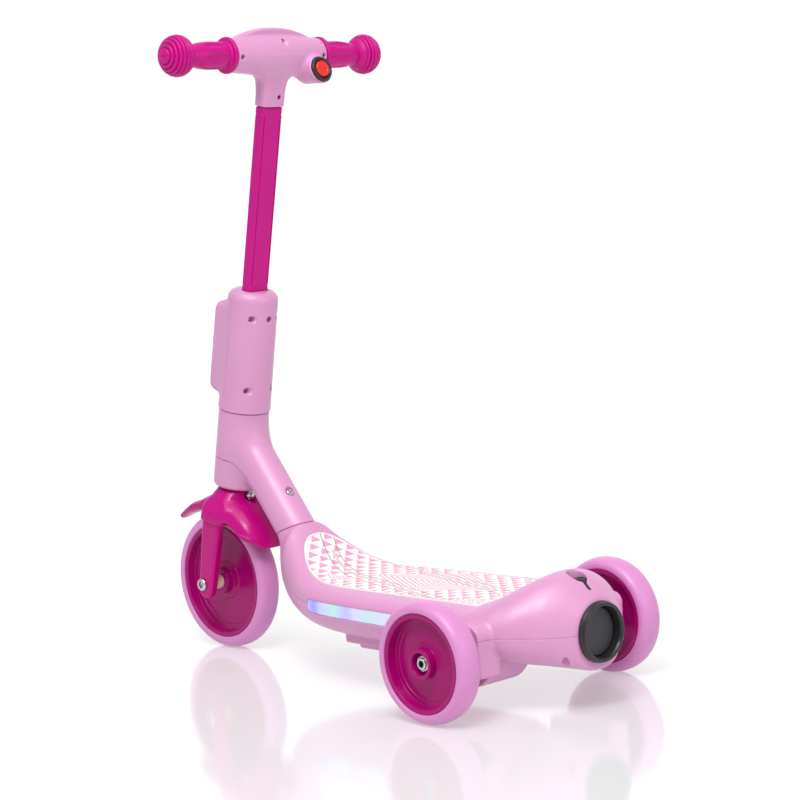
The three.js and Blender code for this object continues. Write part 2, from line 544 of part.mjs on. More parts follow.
// [degrees back from the steering axis, half width, radius at the edge, radius on the ridge]
const FLAP = [[6, 36, 92, 114], [18, 35.8, 90, 112], [30, 35, 89, 109.5], [40, 33.5, 88, 106],
  [50, 30.5, 87, 101.5]];
const FLAP_WALL = 2.6;
const flap = loft(FLAP.map(([degrees, half, edge, ridge]) => {
  const back = THREE.MathUtils.degToRad(degrees);
  const arc = (inset) => Array.from({ length: 11 }, (_, k) => {
    const t = (k / 10) * Math.PI;
    const rise = ridge - inset - edge;
    return [(half - inset) * bend(Math.cos(t), 2.6), edge + rise * bend(Math.sin(t), 2.6)];
  });
  return [...arc(0), ...arc(FLAP_WALL).reverse()].map(([y, r]) =>
    vec(WHEEL_X - r * Math.sin(back), y, WHEEL_S + r * Math.cos(back)));
}));
const archCut = rodY(87, -28.8, 28.8, 36).translate(WHEEL_X, 0, WHEEL_S);
const steererHole = (s0, s1) => rodZ(TUBE.steerer + GAP, s0, s1);
const CROWN_BOLT = { at: [-20.4, 0, 196.4], outward: vec(-1, 0, 0) };
const crownBolt = (grow) => pointing(lathe([[0, -40], [2.5 + grow, -40], [2.5 + grow, 0], [0, 0]], 12),
  CROWN_BOLT.at, CROWN_BOLT.outward);
const crownSeat = pointing(new THREE.CylinderGeometry(7.2, 7.2, 12, 16), [-26.4, 0, CROWN_BOLT.at[2]],
  CROWN_BOLT.outward);
const crownCuts = union(forkBody(GAP), archCut, steererHole(160, 210), crownBolt(GAP), crownSeat);
piece(steering, 'mudguard', union(crown, horn, flap).subtract(crownCuts), MAGENTA);
piece(steering, 'crown_bolt', crownBolt(0), STEEL);
piece(steering, 'crown_nut', pointing(lathe([[0, 0.3], [6.2, 0.3], [6.2, 4], [3.6, 6.2], [0, 6.2]], 6),
  CROWN_BOLT.at, CROWN_BOLT.outward), STEEL);

// ---- column ----
function roundedBar(depth, width, corner, s0, s1) {
  const [a, b, r] = [depth / 2, width / 2, corner];
  const shape = new THREE.Shape();
  shape.moveTo(a, -b + r);
  shape.absarc(a - r, b - r, r, 0, Math.PI / 2);
  shape.absarc(-a + r, b - r, r, Math.PI / 2, Math.PI);
  shape.absarc(-a + r, -b + r, r, Math.PI, Math.PI * 1.5);
  shape.absarc(a - r, -b + r, r, Math.PI * 1.5, Math.PI * 2);
  return plateZ(shape, s0, s1, 3);
}
const onColumn = (shape) => shape.translate(COLUMN.x, 0, 0);
const bar = (grow, s0, s1) =>
  onColumn(roundedBar(COLUMN.depth + 2 * grow, COLUMN.width + 2 * grow, COLUMN.corner + grow, s0, s1));
const tongue = (grow, s0, s1) => onColumn(roundedBar(8 + 2 * grow, 20 + 2 * grow, 2, s0, s1));
const TONGUE = { foot: 305, top: 372 };
piece(steering, 'steerer', union(rodZ(TUBE.steerer, FORK.bridgeTop + 0.4, TONGUE.foot + 1),
  tongue(0, TONGUE.foot, TONGUE.top))
  .subtract(union(crownBolt(GAP), rodZ(TUBE.steerer - 2, FORK.bridgeTop, TONGUE.foot - 7, 16))), STEEL);
const columnShape = union(bar(0, COLUMN.foot, COLUMN.lowerCollar),
  bar(-COLUMN.recess, COLUMN.lowerCollar - 1, COLUMN.upperCollar + 0.5),
  bar(0, COLUMN.upperCollar - 0.5, COLUMN.head));
const columnHollow = bar(-COLUMN.wall, TONGUE.top + 8, COLUMN.head + 1);
piece(steering, 'column', columnShape.subtract(tongue(GAP, COLUMN.foot - 1, TONGUE.top + 2))
  .subtract(columnHollow), MAGENTA);

// ---- column cover: a round rear shell and a front shell with a square bulge ----
const coverRound = aboutZ([[0, COVER.bottom], [COVER.rBottom, COVER.bottom], [COVER.rTop, COVER.top - 10],
  [COVER.rTop - 2.6, COVER.top - 3.4], [COVER.rTop - 9, COVER.top], [0, COVER.top]]);
const coverHollow = aboutZ([[0, COVER.bottom + WALL], [COVER.rBottom - WALL, COVER.bottom + WALL],
  [COVER.rTop - WALL, COVER.top - 12], [COVER.rTop - 12, COVER.top - WALL], [0, COVER.top - WALL]], 20)
  .subtract(bar(GAP + WALL, COLUMN.foot - WALL, COVER.top))
  .subtract(rodZ(TUBE.steerer + GAP + WALL, COVER.bottom, COLUMN.foot));
const bulgeSide = new THREE.Shape();
bulgeSide.moveTo(0, 311);
bulgeSide.lineTo(24, 311);
bulgeSide.bezierCurveTo(35, 312, COVER.bulgeFront, 322, COVER.bulgeFront, 334);
bulgeSide.lineTo(COVER.bulgeFront, 396);
bulgeSide.bezierCurveTo(COVER.bulgeFront, 413, 36, 423, 24, 425);
bulgeSide.lineTo(0, 425);
const bulge = plateY(bulgeSide, -COVER.bulgeHalf, COVER.bulgeHalf, 6)
  .intersect(roundedBar(COVER.bulgeFront * 2, COVER.bulgeHalf * 2, 8, 300, 440));
const coverPocket = union(bar(GAP, COLUMN.foot - 1, 450), steererHole(290, COLUMN.foot));
const coverSolid = union(coverRound, bulge).subtract(coverPocket).subtract(coverHollow);
const screwAt = (x, y, s, reach, grow) =>
  bolt([x, y, s], vec(-1, 0, 0), 3 + grow, 2 + grow, 1.5 + grow, reach + grow);
// [y, s, depth of the seat] of the screws that join the cover's shells
const COVER_SCREWS = [[19, 411.5, -21], [19, 326, -21.5]];
const COVER_REACH = 34;
const screwCuts = (list, reach) => union(...list.map(([y, s, x]) => union(screwAt(x, y, s, reach, GAP),
  pointing(new THREE.CylinderGeometry(3 + GAP, 3 + GAP, 14, 12), [x - 7, y, s], vec(-1, 0, 0)))));
const coverScrewCuts = screwCuts(COVER_SCREWS, COVER_REACH);
const coverRear = block(-60, COVER.split - GAP / 2, -60, 60, 290, 450);
const coverFront = block(COVER.split + GAP / 2, 60, -60, 60, 290, 450);
piece(steering, 'column_cover_rear', coverSolid.intersect(coverRear).subtract(coverScrewCuts), PINK);
piece(steering, 'column_cover_front', coverSolid.intersect(coverFront).subtract(coverScrewCuts), PINK);
COVER_SCREWS.forEach(([y, s, x], i) =>
  piece(steering, `cover_screw_${i + 1}`, screwAt(x, y, s, COVER_REACH, 0), STEEL));

// ---- handlebar housing: barrel, stem, crest in front and the boss of the button ----
const halfBarrel = [[0, BAR.housingHalf], [BAR.rEnd - 1, BAR.housingHalf], [BAR.rEnd, BAR.housingHalf - 1],
  [20.3, 46], [22.2, 24]];
const barrelProfile = [...halfBarrel.map(([r, y]) => [r, -y]), [BAR.rMid, 0], ...halfBarrel.reverse()];
const barrel = aboutY(barrelProfile).translate(COLUMN.x, 0, BAR.s);
const STEM = [[656, 9.6, 16], [670, 11, 16.4], [682, 13.5, 18], [691, 16.5, 22], [700, 19, 29],
  [708, 20, 36]];
const stem = loft(STEM.map(([s, depth, width]) => roundedRing(depth, width, 3, 20)
  .map(([x, y]) => vec(x + COLUMN.x, y, s))));
const CREST = [[-58, 722], [-52, 734.5], [-45, 737.5], [-30, 741.5], [-15, 744.2], [0, 745]];
const crestRight = CREST.slice(0, -1).reverse().map(([y, s]) => [-y, s]);
const crestLine = [[-58, 712], ...CREST, ...crestRight, [58, 712]];
const crest = loft([[-3, 0, 1], [6, 1, 0.99], [13, 6, 0.94]].map(([x, drop, narrow]) =>
  crestLine.map(([y, s]) => vec(x, y * narrow, s - drop))));
const BUTTON_OUT = vec(-Math.cos(BUTTON.pitch), 0, Math.sin(BUTTON.pitch));
const BUTTON_UP = vec(Math.sin(BUTTON.pitch), 0, Math.cos(BUTTON.pitch));
const buttonCentre = vec(BUTTON.x, BUTTON.y, BUTTON.s);
const bossRing = (centre, r) => Array.from({ length: 20 }, (_, k) => {
  const t = (k / 20) * Math.PI * 2;
  return centre.clone().addScaledVector(BUTTON_UP, r * Math.cos(t)).add(vec(0, r * Math.sin(t), 0));
});
const boss = loft([bossRing(buttonCentre.clone().addScaledVector(BUTTON_OUT, -0.6), 16.6),
  bossRing(buttonCentre.clone().addScaledVector(BUTTON_OUT, -7), 17.6),
  bossRing(vec(-4, BUTTON.y + 6, 699), 15)]);
const onButton = (profile, segments = 24) =>
  pointing(lathe(profile, segments), buttonCentre.toArray(), BUTTON_OUT);
const bezelSeat = onButton([[0, -6], [BUTTON.ring + GAP, -6], [BUTTON.ring + GAP, 6], [0, 6]]);
const switchWell = onButton([[0, -16], [BUTTON.cap + 1, -16], [BUTTON.cap + 1, -5], [0, -5]]);
const barBore = rodY(BAR.r + GAP, -80, 80).translate(COLUMN.x, 0, BAR.s);
const HOUSING_SCREWS = [[54, 725.5, -14], [-54, 725.5, -14]];
const HOUSING_REACH = 20;
const housingScrewCuts = screwCuts(HOUSING_SCREWS, HOUSING_REACH);
const housing = union(barrel, stem, crest, boss).subtract(union(barBore, bar(GAP, 640, COLUMN.head + 1),
  bezelSeat, switchWell, housingScrewCuts));
HOUSING_SCREWS.forEach(([y, s, x], i) =>
  piece(steering, `housing_screw_${i + 1}`, screwAt(x, y, s, HOUSING_REACH, 0), STEEL));
// the housing is moulded in two halves that meet on the bar's axis
const housingRear = block(-80, COLUMN.x - GAP / 2, -90, 90, 640, 760);
const housingFront = block(COLUMN.x + GAP / 2, 80, -90, 90, 640, 760);
piece(steering, 'handlebar_housing_rear', housing.intersect(housingRear), PINK);
piece(steering, 'handlebar_housing_front', housing.intersect(housingFront), PINK);
const handlebar = tubeY(BAR.r, BAR.r - 1.5, -BAR.half, BAR.half).translate(COLUMN.x, 0, BAR.s);
piece(steering, 'handlebar_tube', handlebar, STEEL);

// ---- push button ----
const bezel = onButton([[BUTTON.cap + GAP, -5.7], [BUTTON.ring, -5.7], [BUTTON.ring, 0.6],
  [BUTTON.ring - 1.2, 1.6], [BUTTON.cap + 1.4, 1.6], [BUTTON.cap + GAP, 0.6], [BUTTON.cap + GAP, -5.7]]);
const cap = onButton([[0, -9], [BUTTON.cap, -9], [BUTTON.cap, 2.2], [BUTTON.cap - 1.2, 3.2], [0, 3.6]]);
piece(steering, 'button_bezel', bezel, DARK_GREY);
piece(steering, 'push_button', cap, RED);
piece(steering, 'button_switch', onButton([[0, -15.6], [7, -15.6], [7, -12.6], [0, -12.6]], 16), DARK_GREY);

// ---- grips: flange, waisted handle and a ribbed ball ----
const ball = Array.from({ length: 8 }, (_, k) => {
  const t = Math.acos(-0.62) * (1 - k / 7);
  return [GRIP.ballR * Math.sin(t), GRIP.ballY + GRIP.ballHalf * Math.cos(t)];
});
const GRIP_PROFILE = [[BAR.r + 0.2, GRIP.inner], [GRIP.flange - 1, GRIP.inner], [GRIP.flange, GRIP.inner + 1],
  [GRIP.flange, GRIP.inner + 3], [GRIP.flange - 1, GRIP.inner + 4], [GRIP.waist - 0.5, GRIP.inner + 4.4],
  [GRIP.waist, 95], [GRIP.waist - 0.8, 108], [GRIP.neck, 119], [GRIP.neck + 2, 123.5], ...ball];
for (const [side, name] of [[1, 'left'], [-1, 'right']]) {
  const boreEnd = BAR.half + 1;
  const profile = [...GRIP_PROFILE, [0, boreEnd], [BAR.r + 0.2, boreEnd], [BAR.r + 0.2, GRIP.inner]];
  const turned = side > 0 ? profile : profile.map(([r, y]) => [r, -y]).reverse();
  piece(steering, `grip_${name}`, aboutY(turned, 20).translate(COLUMN.x, 0, BAR.s), SOFT_MAGENTA);
}

export default scooter;
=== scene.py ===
"""Looks of the toddler's three-wheeled scooter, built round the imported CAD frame."""
import json
import math

import bpy
import numpy as np
from mathutils import Matrix, Vector


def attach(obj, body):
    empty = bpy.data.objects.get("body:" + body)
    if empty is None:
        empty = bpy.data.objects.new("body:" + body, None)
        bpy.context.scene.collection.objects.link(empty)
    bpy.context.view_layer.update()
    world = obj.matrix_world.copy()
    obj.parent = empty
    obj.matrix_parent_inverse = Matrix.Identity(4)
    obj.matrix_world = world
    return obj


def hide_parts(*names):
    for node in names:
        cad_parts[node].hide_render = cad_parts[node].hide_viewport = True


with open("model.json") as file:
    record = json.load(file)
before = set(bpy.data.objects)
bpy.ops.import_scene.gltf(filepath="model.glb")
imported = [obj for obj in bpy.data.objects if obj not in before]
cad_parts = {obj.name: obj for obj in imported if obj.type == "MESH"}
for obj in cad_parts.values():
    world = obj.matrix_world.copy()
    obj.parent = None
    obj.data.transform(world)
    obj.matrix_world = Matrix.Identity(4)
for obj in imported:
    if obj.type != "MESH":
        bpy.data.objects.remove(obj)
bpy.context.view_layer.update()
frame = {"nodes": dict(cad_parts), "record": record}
most, least, hypot = np.maximum, np.minimum, np.hypot

# ---- places, in millimetres: +X forward from the rear axle, +Y left, +Z up from the ground
REAR_AXLE_X = -225.9                  # in the shared frame
STEER_X = 497.35
RAKE = math.radians(12.35)
MM = 0.001
WHEEL_X, WHEEL_S = 3.43, 82.57        # front axle, in the steering frame
AXLE_HOLE_R = 5.35
BAR_X, BAR_S = -2.0, 713.8            # handlebar axis, in the steering frame


def on_frame(p):
    """Points of the chassis, in metres of the shared frame."""
    return (np.asarray(p, float) + [REAR_AXLE_X, 0, 0]) * MM


def on_steering(p):
    """Points given as (forward of, left of, along) the steering axis, in the same metres."""
    p = np.asarray(p, float)
    c, s = math.cos(RAKE), math.sin(RAKE)
    x = STEER_X + p[:, 0] * c - p[:, 2] * s
    z = p[:, 0] * s + p[:, 2] * c
    return on_frame(np.column_stack([x, p[:, 1], z]))


# ---- curves and fields: a field is negative inside the solid
def along(line, x):
    """A smooth, never overshooting curve through (position, value) points, for arrays."""
    line = np.asarray(line, float)
    px, py = line[:, 0], line[:, 1]
    x = np.clip(x, px[0], px[-1])
    slope = np.diff(py) / np.diff(px)
    tangent = np.empty(len(px))
    tangent[0], tangent[-1] = slope[0], slope[-1]
    product = slope[:-1] * slope[1:]
    total = slope[:-1] + slope[1:]
    tangent[1:-1] = np.where(product > 0, 2 * product / np.where(total == 0, 1, total), 0)
    i = np.clip(np.searchsorted(px, x, side="right") - 1, 0, len(px) - 2)
    span = px[i + 1] - px[i]
    t = (x - px[i]) / span
    rise = py[i + 1] - py[i]
    m0, m1 = tangent[i] * span, tangent[i + 1] * span
    return py[i] + m0 * t + (3 * rise - 2 * m0 - m1) * t * t + (m0 + m1 - 2 * rise) * t ** 3


def smin(a, b, k):
    h = most(k - abs(a - b), 0) / k
    return least(a, b) - h * h * k / 4


def smax(a, b, k):
    return -smin(-a, -b, k)


def pair(a, b, k=0.0):
    """Inside both a and b, with an edge of radius k."""
    if k == 0:
        return most(a, b)
    return least(most(a, b) + k, 0) + hypot(most(a + k, 0), most(b + k, 0)) - k


def between(w, low, high):
    return abs(w - (low + high) / 2) - (high - low) / 2


def oval(u, v, half_u, half_v, power):
    """A superellipse: negative inside, 0 on the outline, without a unit."""
    return ((abs(u) / half_u) ** power + (abs(v) / half_v) ** power) ** (1 / power) - 1


def block(x, y, z, cx, cy, cz, hx, hy, hz, k=0.0):
    qx, qy, qz = abs(x - cx) - hx + k, abs(y - cy) - hy + k, abs(z - cz) - hz + k
    out = np.sqrt(most(qx, 0) ** 2 + most(qy, 0) ** 2 + most(qz, 0) ** 2)
    return out + least(most(qx, most(qy, qz)), 0) - k


CORNERS = np.array([[i, j, k] for i in (0, 1) for j in (0, 1) for k in (0, 1)])
EDGES = [(a, b) for a in range(8) for b in range(a + 1, 8) if abs(CORNERS[a] - CORNERS[b]).sum() == 1]


def evened(f, step):
    """The field scaled so that it reads as a distance near its zero surface."""
    slope = np.sqrt(sum(d * d for d in np.gradient(f, *step)))
    return f / most(slope, 0.25)


def net(field, lo, hi, step):
    """A quad mesh on the zero surface of field(x, y, z), inside negative."""
    lo, hi, step = np.array(lo, float), np.array(hi, float), np.broadcast_to(step, 3)
    counts = np.ceil((hi - lo) / step).astype(int) + 1
    axes = [lo[i] + step[i] * np.arange(counts[i]) for i in range(3)]
    x, y, z = np.meshgrid(*axes, indexing="ij", sparse=True)
    f = np.broadcast_to(np.asarray(field(x, y, z), np.float32), counts)
    f = np.where(f == 0, 1e-6, f)
    inside = f < 0
    n = counts - 1
    total = np.zeros(n, np.int8)
    for c in CORNERS:
        total += inside[c[0]:c[0] + n[0], c[1]:c[1] + n[1], c[2]:c[2] + n[2]]
    cell = np.argwhere((total > 0) & (total < 8))
    ids = np.full(n, -1, np.int64)
    ids[tuple(cell.T)] = np.arange(len(cell))
    value = np.stack([f[cell[:, 0] + c[0], cell[:, 1] + c[1], cell[:, 2] + c[2]] for c in CORNERS], 1)
    place = np.zeros((len(cell), 3))
    crossings = np.zeros(len(cell))
    for a, b in EDGES:
        fa, fb = value[:, a], value[:, b]
        cross = (fa < 0) != (fb < 0)
        t = np.where(cross, fa / np.where(fa == fb, 1, fa - fb), 0)
        spot = CORNERS[a] + t[:, None] * (CORNERS[b] - CORNERS[a])
        place += spot * cross[:, None]
        crossings += cross
    verts = lo + step * (cell + place / crossings[:, None])
    faces = []
    for axis in range(3):
        u, v = (axis + 1) % 3, (axis + 2) % 3
        a, b = np.delete(inside, -1, axis), np.delete(inside, 0, axis)
        edge = np.argwhere(a != b)
        edge = edge[(edge[:, u] > 0) & (edge[:, v] > 0) & (edge[:, u] < n[u]) & (edge[:, v] < n[v])]
        turn_over = ~a[tuple(edge.T)]
        quad = []
        for du, dv in ((1, 1), (0, 1), (0, 0), (1, 0)):
            beside = edge.copy()
            beside[:, u] -= du
            beside[:, v] -= dv
            quad.append(ids[tuple(beside.T)])
        quad = np.stack(quad, 1)
        quad[turn_over] = quad[turn_over][:, ::-1]
        faces.append(quad)
    return verts, np.concatenate(faces)


def settle(verts, faces, rounds=2, strength=0.5):
    """Evens out a net by moving each point towards its neighbours, there and back."""
    edges = np.concatenate([faces[:, [0, 1]], faces[:, [1, 2]], faces[:, [2, 3]], faces[:, [3, 0]]])
    count = np.bincount(edges.ravel(), minlength=len(verts))[:, None]
    for k in range(rounds * 2):
        total = np.zeros_like(verts)
        for a, b in ((0, 1), (1, 0)):
            for axis in range(3):
                total[:, axis] += np.bincount(edges[:, a], verts[edges[:, b], axis], len(verts))
        factor = strength if k % 2 == 0 else -strength * 1.02
        verts = verts + factor * (total / count - verts)
    return verts


def in_scene(name, data):
    obj = bpy.data.objects.new(name, data)
    bpy.context.scene.collection.objects.link(obj)
    return obj


def piece(name, verts, faces, body, material, sharp):
    """A mesh from points in millimetres of its body, in place of the CAD node of the same name."""
    place = on_steering if body in ("steering", "button", "front_wheel") else on_frame
    mesh = bpy.data.meshes.new(name)
    mesh.from_pydata([tuple(v) for v in place(verts)], [], [tuple(int(i) for i in f) for f in faces])
    mesh.validate()
    mesh.polygons.foreach_set("use_smooth", [True] * len(mesh.polygons))
    if sharp:
        mesh.set_sharp_from_angle(angle=math.radians(sharp))
    obj = in_scene(name, mesh)
    mesh.materials.append(material)
    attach(obj, body)
    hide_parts(name)
    return obj


def fluid(name, field, lo, hi, step, body, material, rounds=3):
    """A piece made from a field."""
    verts, faces = net(field, lo, hi, step)
    piece(name, settle(verts, faces, rounds), faces, body, material, sharp=0)


def turned(profile, segments):
    """Points and faces of a solid of revolution about its own h axis, from (r, h) points.
    A profile that starts and ends off the axis closes on itself."""
    profile = np.asarray(profile, float)
    on_axis = profile[0, 0] == 0 and profile[-1, 0] == 0
    ring = profile[1:-1] if on_axis else profile
    t = np.arange(segments) / segments * 2 * math.pi
    radius, high = np.repeat(ring[:, :1], segments, 1), np.repeat(ring[:, 1:], segments, 1)
    verts = np.stack([radius * np.cos(t), radius * np.sin(t), high], 2).reshape(-1, 3)
    rows = len(ring)
    around = [(k, (k + 1) % segments) for k in range(segments)]
    faces = []
    for i in range(rows - 1 if on_axis else rows):
        a, b = i * segments, ((i + 1) % rows) * segments
        faces += [(a + k, a + k2, b + k2, b + k) for k, k2 in around]
    if on_axis:
        low, high, last = len(verts), len(verts) + 1, (rows - 1) * segments
        verts = np.vstack([verts, [0, 0, profile[0, 1]], [0, 0, profile[-1, 1]]])
        for k, k2 in around:
            faces += [(low, k2, k), (high, last + k, last + k2)]
    return verts, outward(verts, faces)


def outward(verts, faces):
    """The faces, turned over if they face inwards."""
    fans = [(f[0], f[j], f[j + 1]) for f in faces for j in range(1, len(f) - 1)]
    a, b, c = np.asarray(verts, float)[np.array(fans).T]
    return faces if (a * np.cross(b, c)).sum() > 0 else [tuple(reversed(f)) for f in faces]


def eased(profile, radius, steps=4):
    """The profile with its corners rounded by up to radius."""
    profile = [np.array(p, float) for p in profile]
    done = [profile[0]]
    for before, corner, after in zip(profile, profile[1:], profile[2:]):
        u, v = before - corner, after - corner
        lu, lv = np.linalg.norm(u), np.linalg.norm(v)
        cut = min(radius, lu * 0.45, lv * 0.45)
        a, b = corner + u / lu * cut, corner + v / lv * cut
        for t in np.linspace(0, 1, steps + 1):
            done.append((1 - t) ** 2 * a + 2 * t * (1 - t) * corner + t * t * b)
    done.append(profile[-1])
    return done


def about(verts, origin, axis):
    """Turned points put with their h axis along axis and their zero at origin."""
    axis = Vector(axis).normalized()
    turn = np.array(Vector((0, 0, 1)).rotation_difference(axis).to_matrix())
    return np.asarray(verts) @ turn.T + np.asarray(origin, float)


# ---- materials
def new_material(name):
    material = bpy.data.materials.new(name)
    material.use_nodes = True
    return material, material.node_tree, material.node_tree.nodes["Principled BSDF"]


def node(tree, kind, **settings):
    made = tree.nodes.new(kind)
    for key, value in settings.items():
        setattr(made, key, value)
    return made


def link(tree, a, b):
    tree.links.new(a, b)


def preset(made, **values):
    """Sets a node's own inputs, named with _ for a space."""
    for name, value in values.items():
        made.inputs[name.replace("_", " ")].default_value = value


def srgb(r, g, b):
    return tuple((c / 255 / 12.92 if c <= 10 else ((c / 255 + 0.055) / 1.055) ** 2.4) for c in (r, g, b))


def noise(tree, scale, detail=3.0):
    coordinates = node(tree, "ShaderNodeTexCoord")
    made = node(tree, "ShaderNodeTexNoise")
    preset(made, Scale=scale, Detail=detail, Roughness=0.55)
    link(tree, coordinates.outputs["Object"], made.inputs["Vector"])
    return made.outputs["Fac"]


def ranged(tree, source, start, end, to_start, to_end, kind="LINEAR"):
    """The source carried from the span start..end onto to_start..to_end."""
    made = node(tree, "ShaderNodeMapRange", interpolation_type=kind)
    for name, value in zip(("From Min", "From Max", "To Min", "To Max"), (start, end, to_start, to_end)):
        made.inputs[name].default_value = value
    link(tree, source, made.inputs["Value"])
    return made.outputs["Result"]


def spread(tree, source, low, high):
    return ranged(tree, source, 0.25, 0.75, low, high)


def soft_step(tree, value, edge, blur):
    """1 where value is under edge, falling to 0 over blur."""
    return ranged(tree, value, edge - blur, edge + blur, 1, 0, "SMOOTHSTEP")


def blend_colours(tree, mask, under, over):
    mix = node(tree, "ShaderNodeMix", data_type="RGBA")
    for socket, value in ((mix.inputs[6], under), (mix.inputs[7], over)):
        if isinstance(value, tuple):
            socket.default_value = (*value, 1)
        else:
            link(tree, value, socket)
    link(tree, mask, mix.inputs[0])
    return mix.outputs[2]


def tint(tree, source, colour, amount):
    """Colour that wanders a little lighter and darker."""
    darker, lighter = [tuple(min(c * k, 1) for c in colour) for k in (1 - amount, 1 + amount)]
    return blend_colours(tree, spread(tree, source, 0, 1), darker, lighter)


def finished(tree, shader, rough, rough_noise, grain, grain_detail, strength):
    """Uneven gloss between two roughnesses, and a fine grain."""
    link(tree, spread(tree, noise(tree, *rough_noise), *rough), shader.inputs["Roughness"])
    bump = node(tree, "ShaderNodeBump")
    preset(bump, Strength=strength, Distance=0.0002)
    link(tree, noise(tree, grain, grain_detail), bump.inputs["Height"])
    link(tree, bump.outputs["Normal"], shader.inputs["Normal"])


def plastic(name, rgb, rough=0.35, swing=0.05, sss=0.0, coat=0.0, grain=900, depth=0.06, wander=0.03,
            ior=1.5):
    material, tree, shader = new_material(name)
    link(tree, tint(tree, noise(tree, 14), srgb(*rgb), wander), shader.inputs["Base Color"])
    preset(shader, IOR=ior, Coat_Weight=coat, Coat_Roughness=0.12)
    if sss:
        preset(shader, Subsurface_Weight=sss, Subsurface_Radius=(1.0, 0.35, 0.5), Subsurface_Scale=0.006)
    finished(tree, shader, (rough - swing, rough + swing), (55, 4), grain, 2, depth)
    return material


def metal(name, colour, rough):
    material, tree, shader = new_material(name)
    link(tree, tint(tree, noise(tree, 80), colour, 0.06), shader.inputs["Base Color"])
    preset(shader, Metallic=1.0)
    finished(tree, shader, (rough * 0.7, rough * 1.4), (260, 4), 400, 3, 0.08)
    return material


PINK = plastic("pink_plastic", (215, 149, 195), rough=0.38, sss=0.08, ior=1.66)
MAGENTA = plastic("magenta_plastic", (190, 0, 124), rough=0.2, wander=0.04, ior=1.34)
# the hubs' plastic is the magenta plastic made darker: painted shade for the hubs, which sit in shade inside
# the tyres
SHADED_HUB_PLASTIC = plastic("shaded_hub_plastic", (164, 0, 108), rough=0.24, wander=0.04, ior=1.34)
COLUMN_PAINT = plastic("column_plastic", (196, 2, 132), rough=0.42, grain=600, depth=0.12,
                       ior=1.34)
RUBBER = plastic("grip_rubber", (194, 0, 128), rough=0.36, swing=0.07, grain=1300, depth=0.08,
                 ior=1.36)
TYRE = plastic("tyre_plastic", (216, 141, 200), rough=0.34, sss=0.1, grain=700, depth=0.08)
DARK = plastic("dark_plastic", (36, 36, 40), rough=0.32, grain=1500, depth=0.2)
DARK_DISC = plastic("dark_disc", (60, 60, 66), rough=0.5, grain=1500, depth=0.25)
RED = plastic("red_plastic", (226, 34, 26), rough=0.22, coat=0.4)
NYLON = plastic("natural_nylon", (240, 226, 205), rough=0.4)
BOARD = plastic("circuit_board", (24, 104, 56), rough=0.5)
BATTERY = plastic("battery_wrap", (80, 86, 94), rough=0.5)
CHROME = metal("chrome", (0.62, 0.63, 0.65), 0.14)
DARK_STEEL = metal("dark_steel", (0.07, 0.07, 0.08), 0.42)


def attribute(tree, name):
    return node(tree, "ShaderNodeAttribute", attribute_name=name).outputs["Fac"]


def maths(tree, operation, *inputs):
    """A link of arithmetic: numbers or sockets in, one socket out."""
    made = node(tree, "ShaderNodeMath", operation=operation)
    for i, value in enumerate(inputs):
        if isinstance(value, (int, float)):
            made.inputs[i].default_value = value
        else:
            link(tree, value, made.inputs[i])
    return made.outputs[0]


def away_from(tree, value, centre):
    return maths(tree, "ABSOLUTE", maths(tree, "SUBTRACT", value, float(centre)))


# printed rhombi: (along, across, half length, half width, width of a ring and its gap)
RHOMBI = [(128, 0, 96, 56, 5.6), (20, 56, 26, 13, 4.3), (20, -56, 26, 13, 4.3), (244, 38, 22, 12, 4.0)]
ROW_PITCH, TRIANGLE_PITCH = 10.3, 19.5       # along the deck, and across it
TRIANGLE_LONG, TRIANGLE_HALF = 10.1, 7.4
MAT_MARGIN, BAND_HALF, LINE_HALF = 2.0, 2.1, 0.5


def mat_material():
    """White sheet with staggered pale pink triangles, ringed rhombi and three sweeping lines."""
    material, tree, shader = new_material("mat_print")
    u, v = attribute(tree, "mat_u"), attribute(tree, "mat_v")
    row = maths(tree, "FLOOR", maths(tree, "DIVIDE", u, ROW_PITCH))
    ahead = maths(tree, "SUBTRACT", u, maths(tree, "MULTIPLY", row, ROW_PITCH))
    stagger = maths(tree, "MULTIPLY_ADD", maths(tree, "MODULO", row, 2.0), 0.5, 40.5)
    across = maths(tree, "ADD", maths(tree, "DIVIDE", v, TRIANGLE_PITCH), stagger)
    off = maths(tree, "MULTIPLY", away_from(tree, maths(tree, "FRACT", across), 0.5), TRIANGLE_PITCH)
    slant = maths(tree, "MULTIPLY_ADD", ahead, TRIANGLE_HALF / TRIANGLE_LONG, off)
    mask = soft_step(tree, slant, TRIANGLE_HALF, 0.3)
    for at_u, at_v, long_half, wide_half, pitch in RHOMBI:
        reach = maths(tree, "ADD", maths(tree, "DIVIDE", away_from(tree, u, at_u), float(long_half)),
                      maths(tree, "DIVIDE", away_from(tree, v, at_v), float(wide_half)))
        ring = maths(tree, "FRACT", maths(tree, "MULTIPLY", reach, wide_half / pitch))
        stripes = soft_step(tree, away_from(tree, ring, 0.5), 0.2, 0.03)
        within = soft_step(tree, reach, 1.0, 0.01)
        keep = maths(tree, "MULTIPLY", mask, maths(tree, "SUBTRACT", 1.0, within))
        mask = maths(tree, "MULTIPLY_ADD", stripes, within, keep)
    edge = soft_step(tree, attribute(tree, "mat_inside"), MAT_MARGIN, 0.15)
    margin = maths(tree, "SUBTRACT", 1.0, edge)
    white = tint(tree, noise(tree, 60), srgb(244, 240, 233), 0.02)
    rose = tint(tree, noise(tree, 90), srgb(246, 152, 192), 0.05)
    colour = blend_colours(tree, maths(tree, "MULTIPLY", mask, margin), white, rose)
    for name, half, blur, grey in (("mat_band", BAND_HALF, 0.3, (205, 202, 198)),
                                   ("mat_lines", LINE_HALF, 0.2, (118, 104, 108))):
        line = soft_step(tree, maths(tree, "ABSOLUTE", attribute(tree, name)), half, blur)
        colour = blend_colours(tree, maths(tree, "MULTIPLY", line, margin), colour, srgb(*grey))
    link(tree, colour, shader.inputs["Base Color"])
    finished(tree, shader, (0.5, 0.66), (120, 4), 1800, 2, 0.25)
    return material


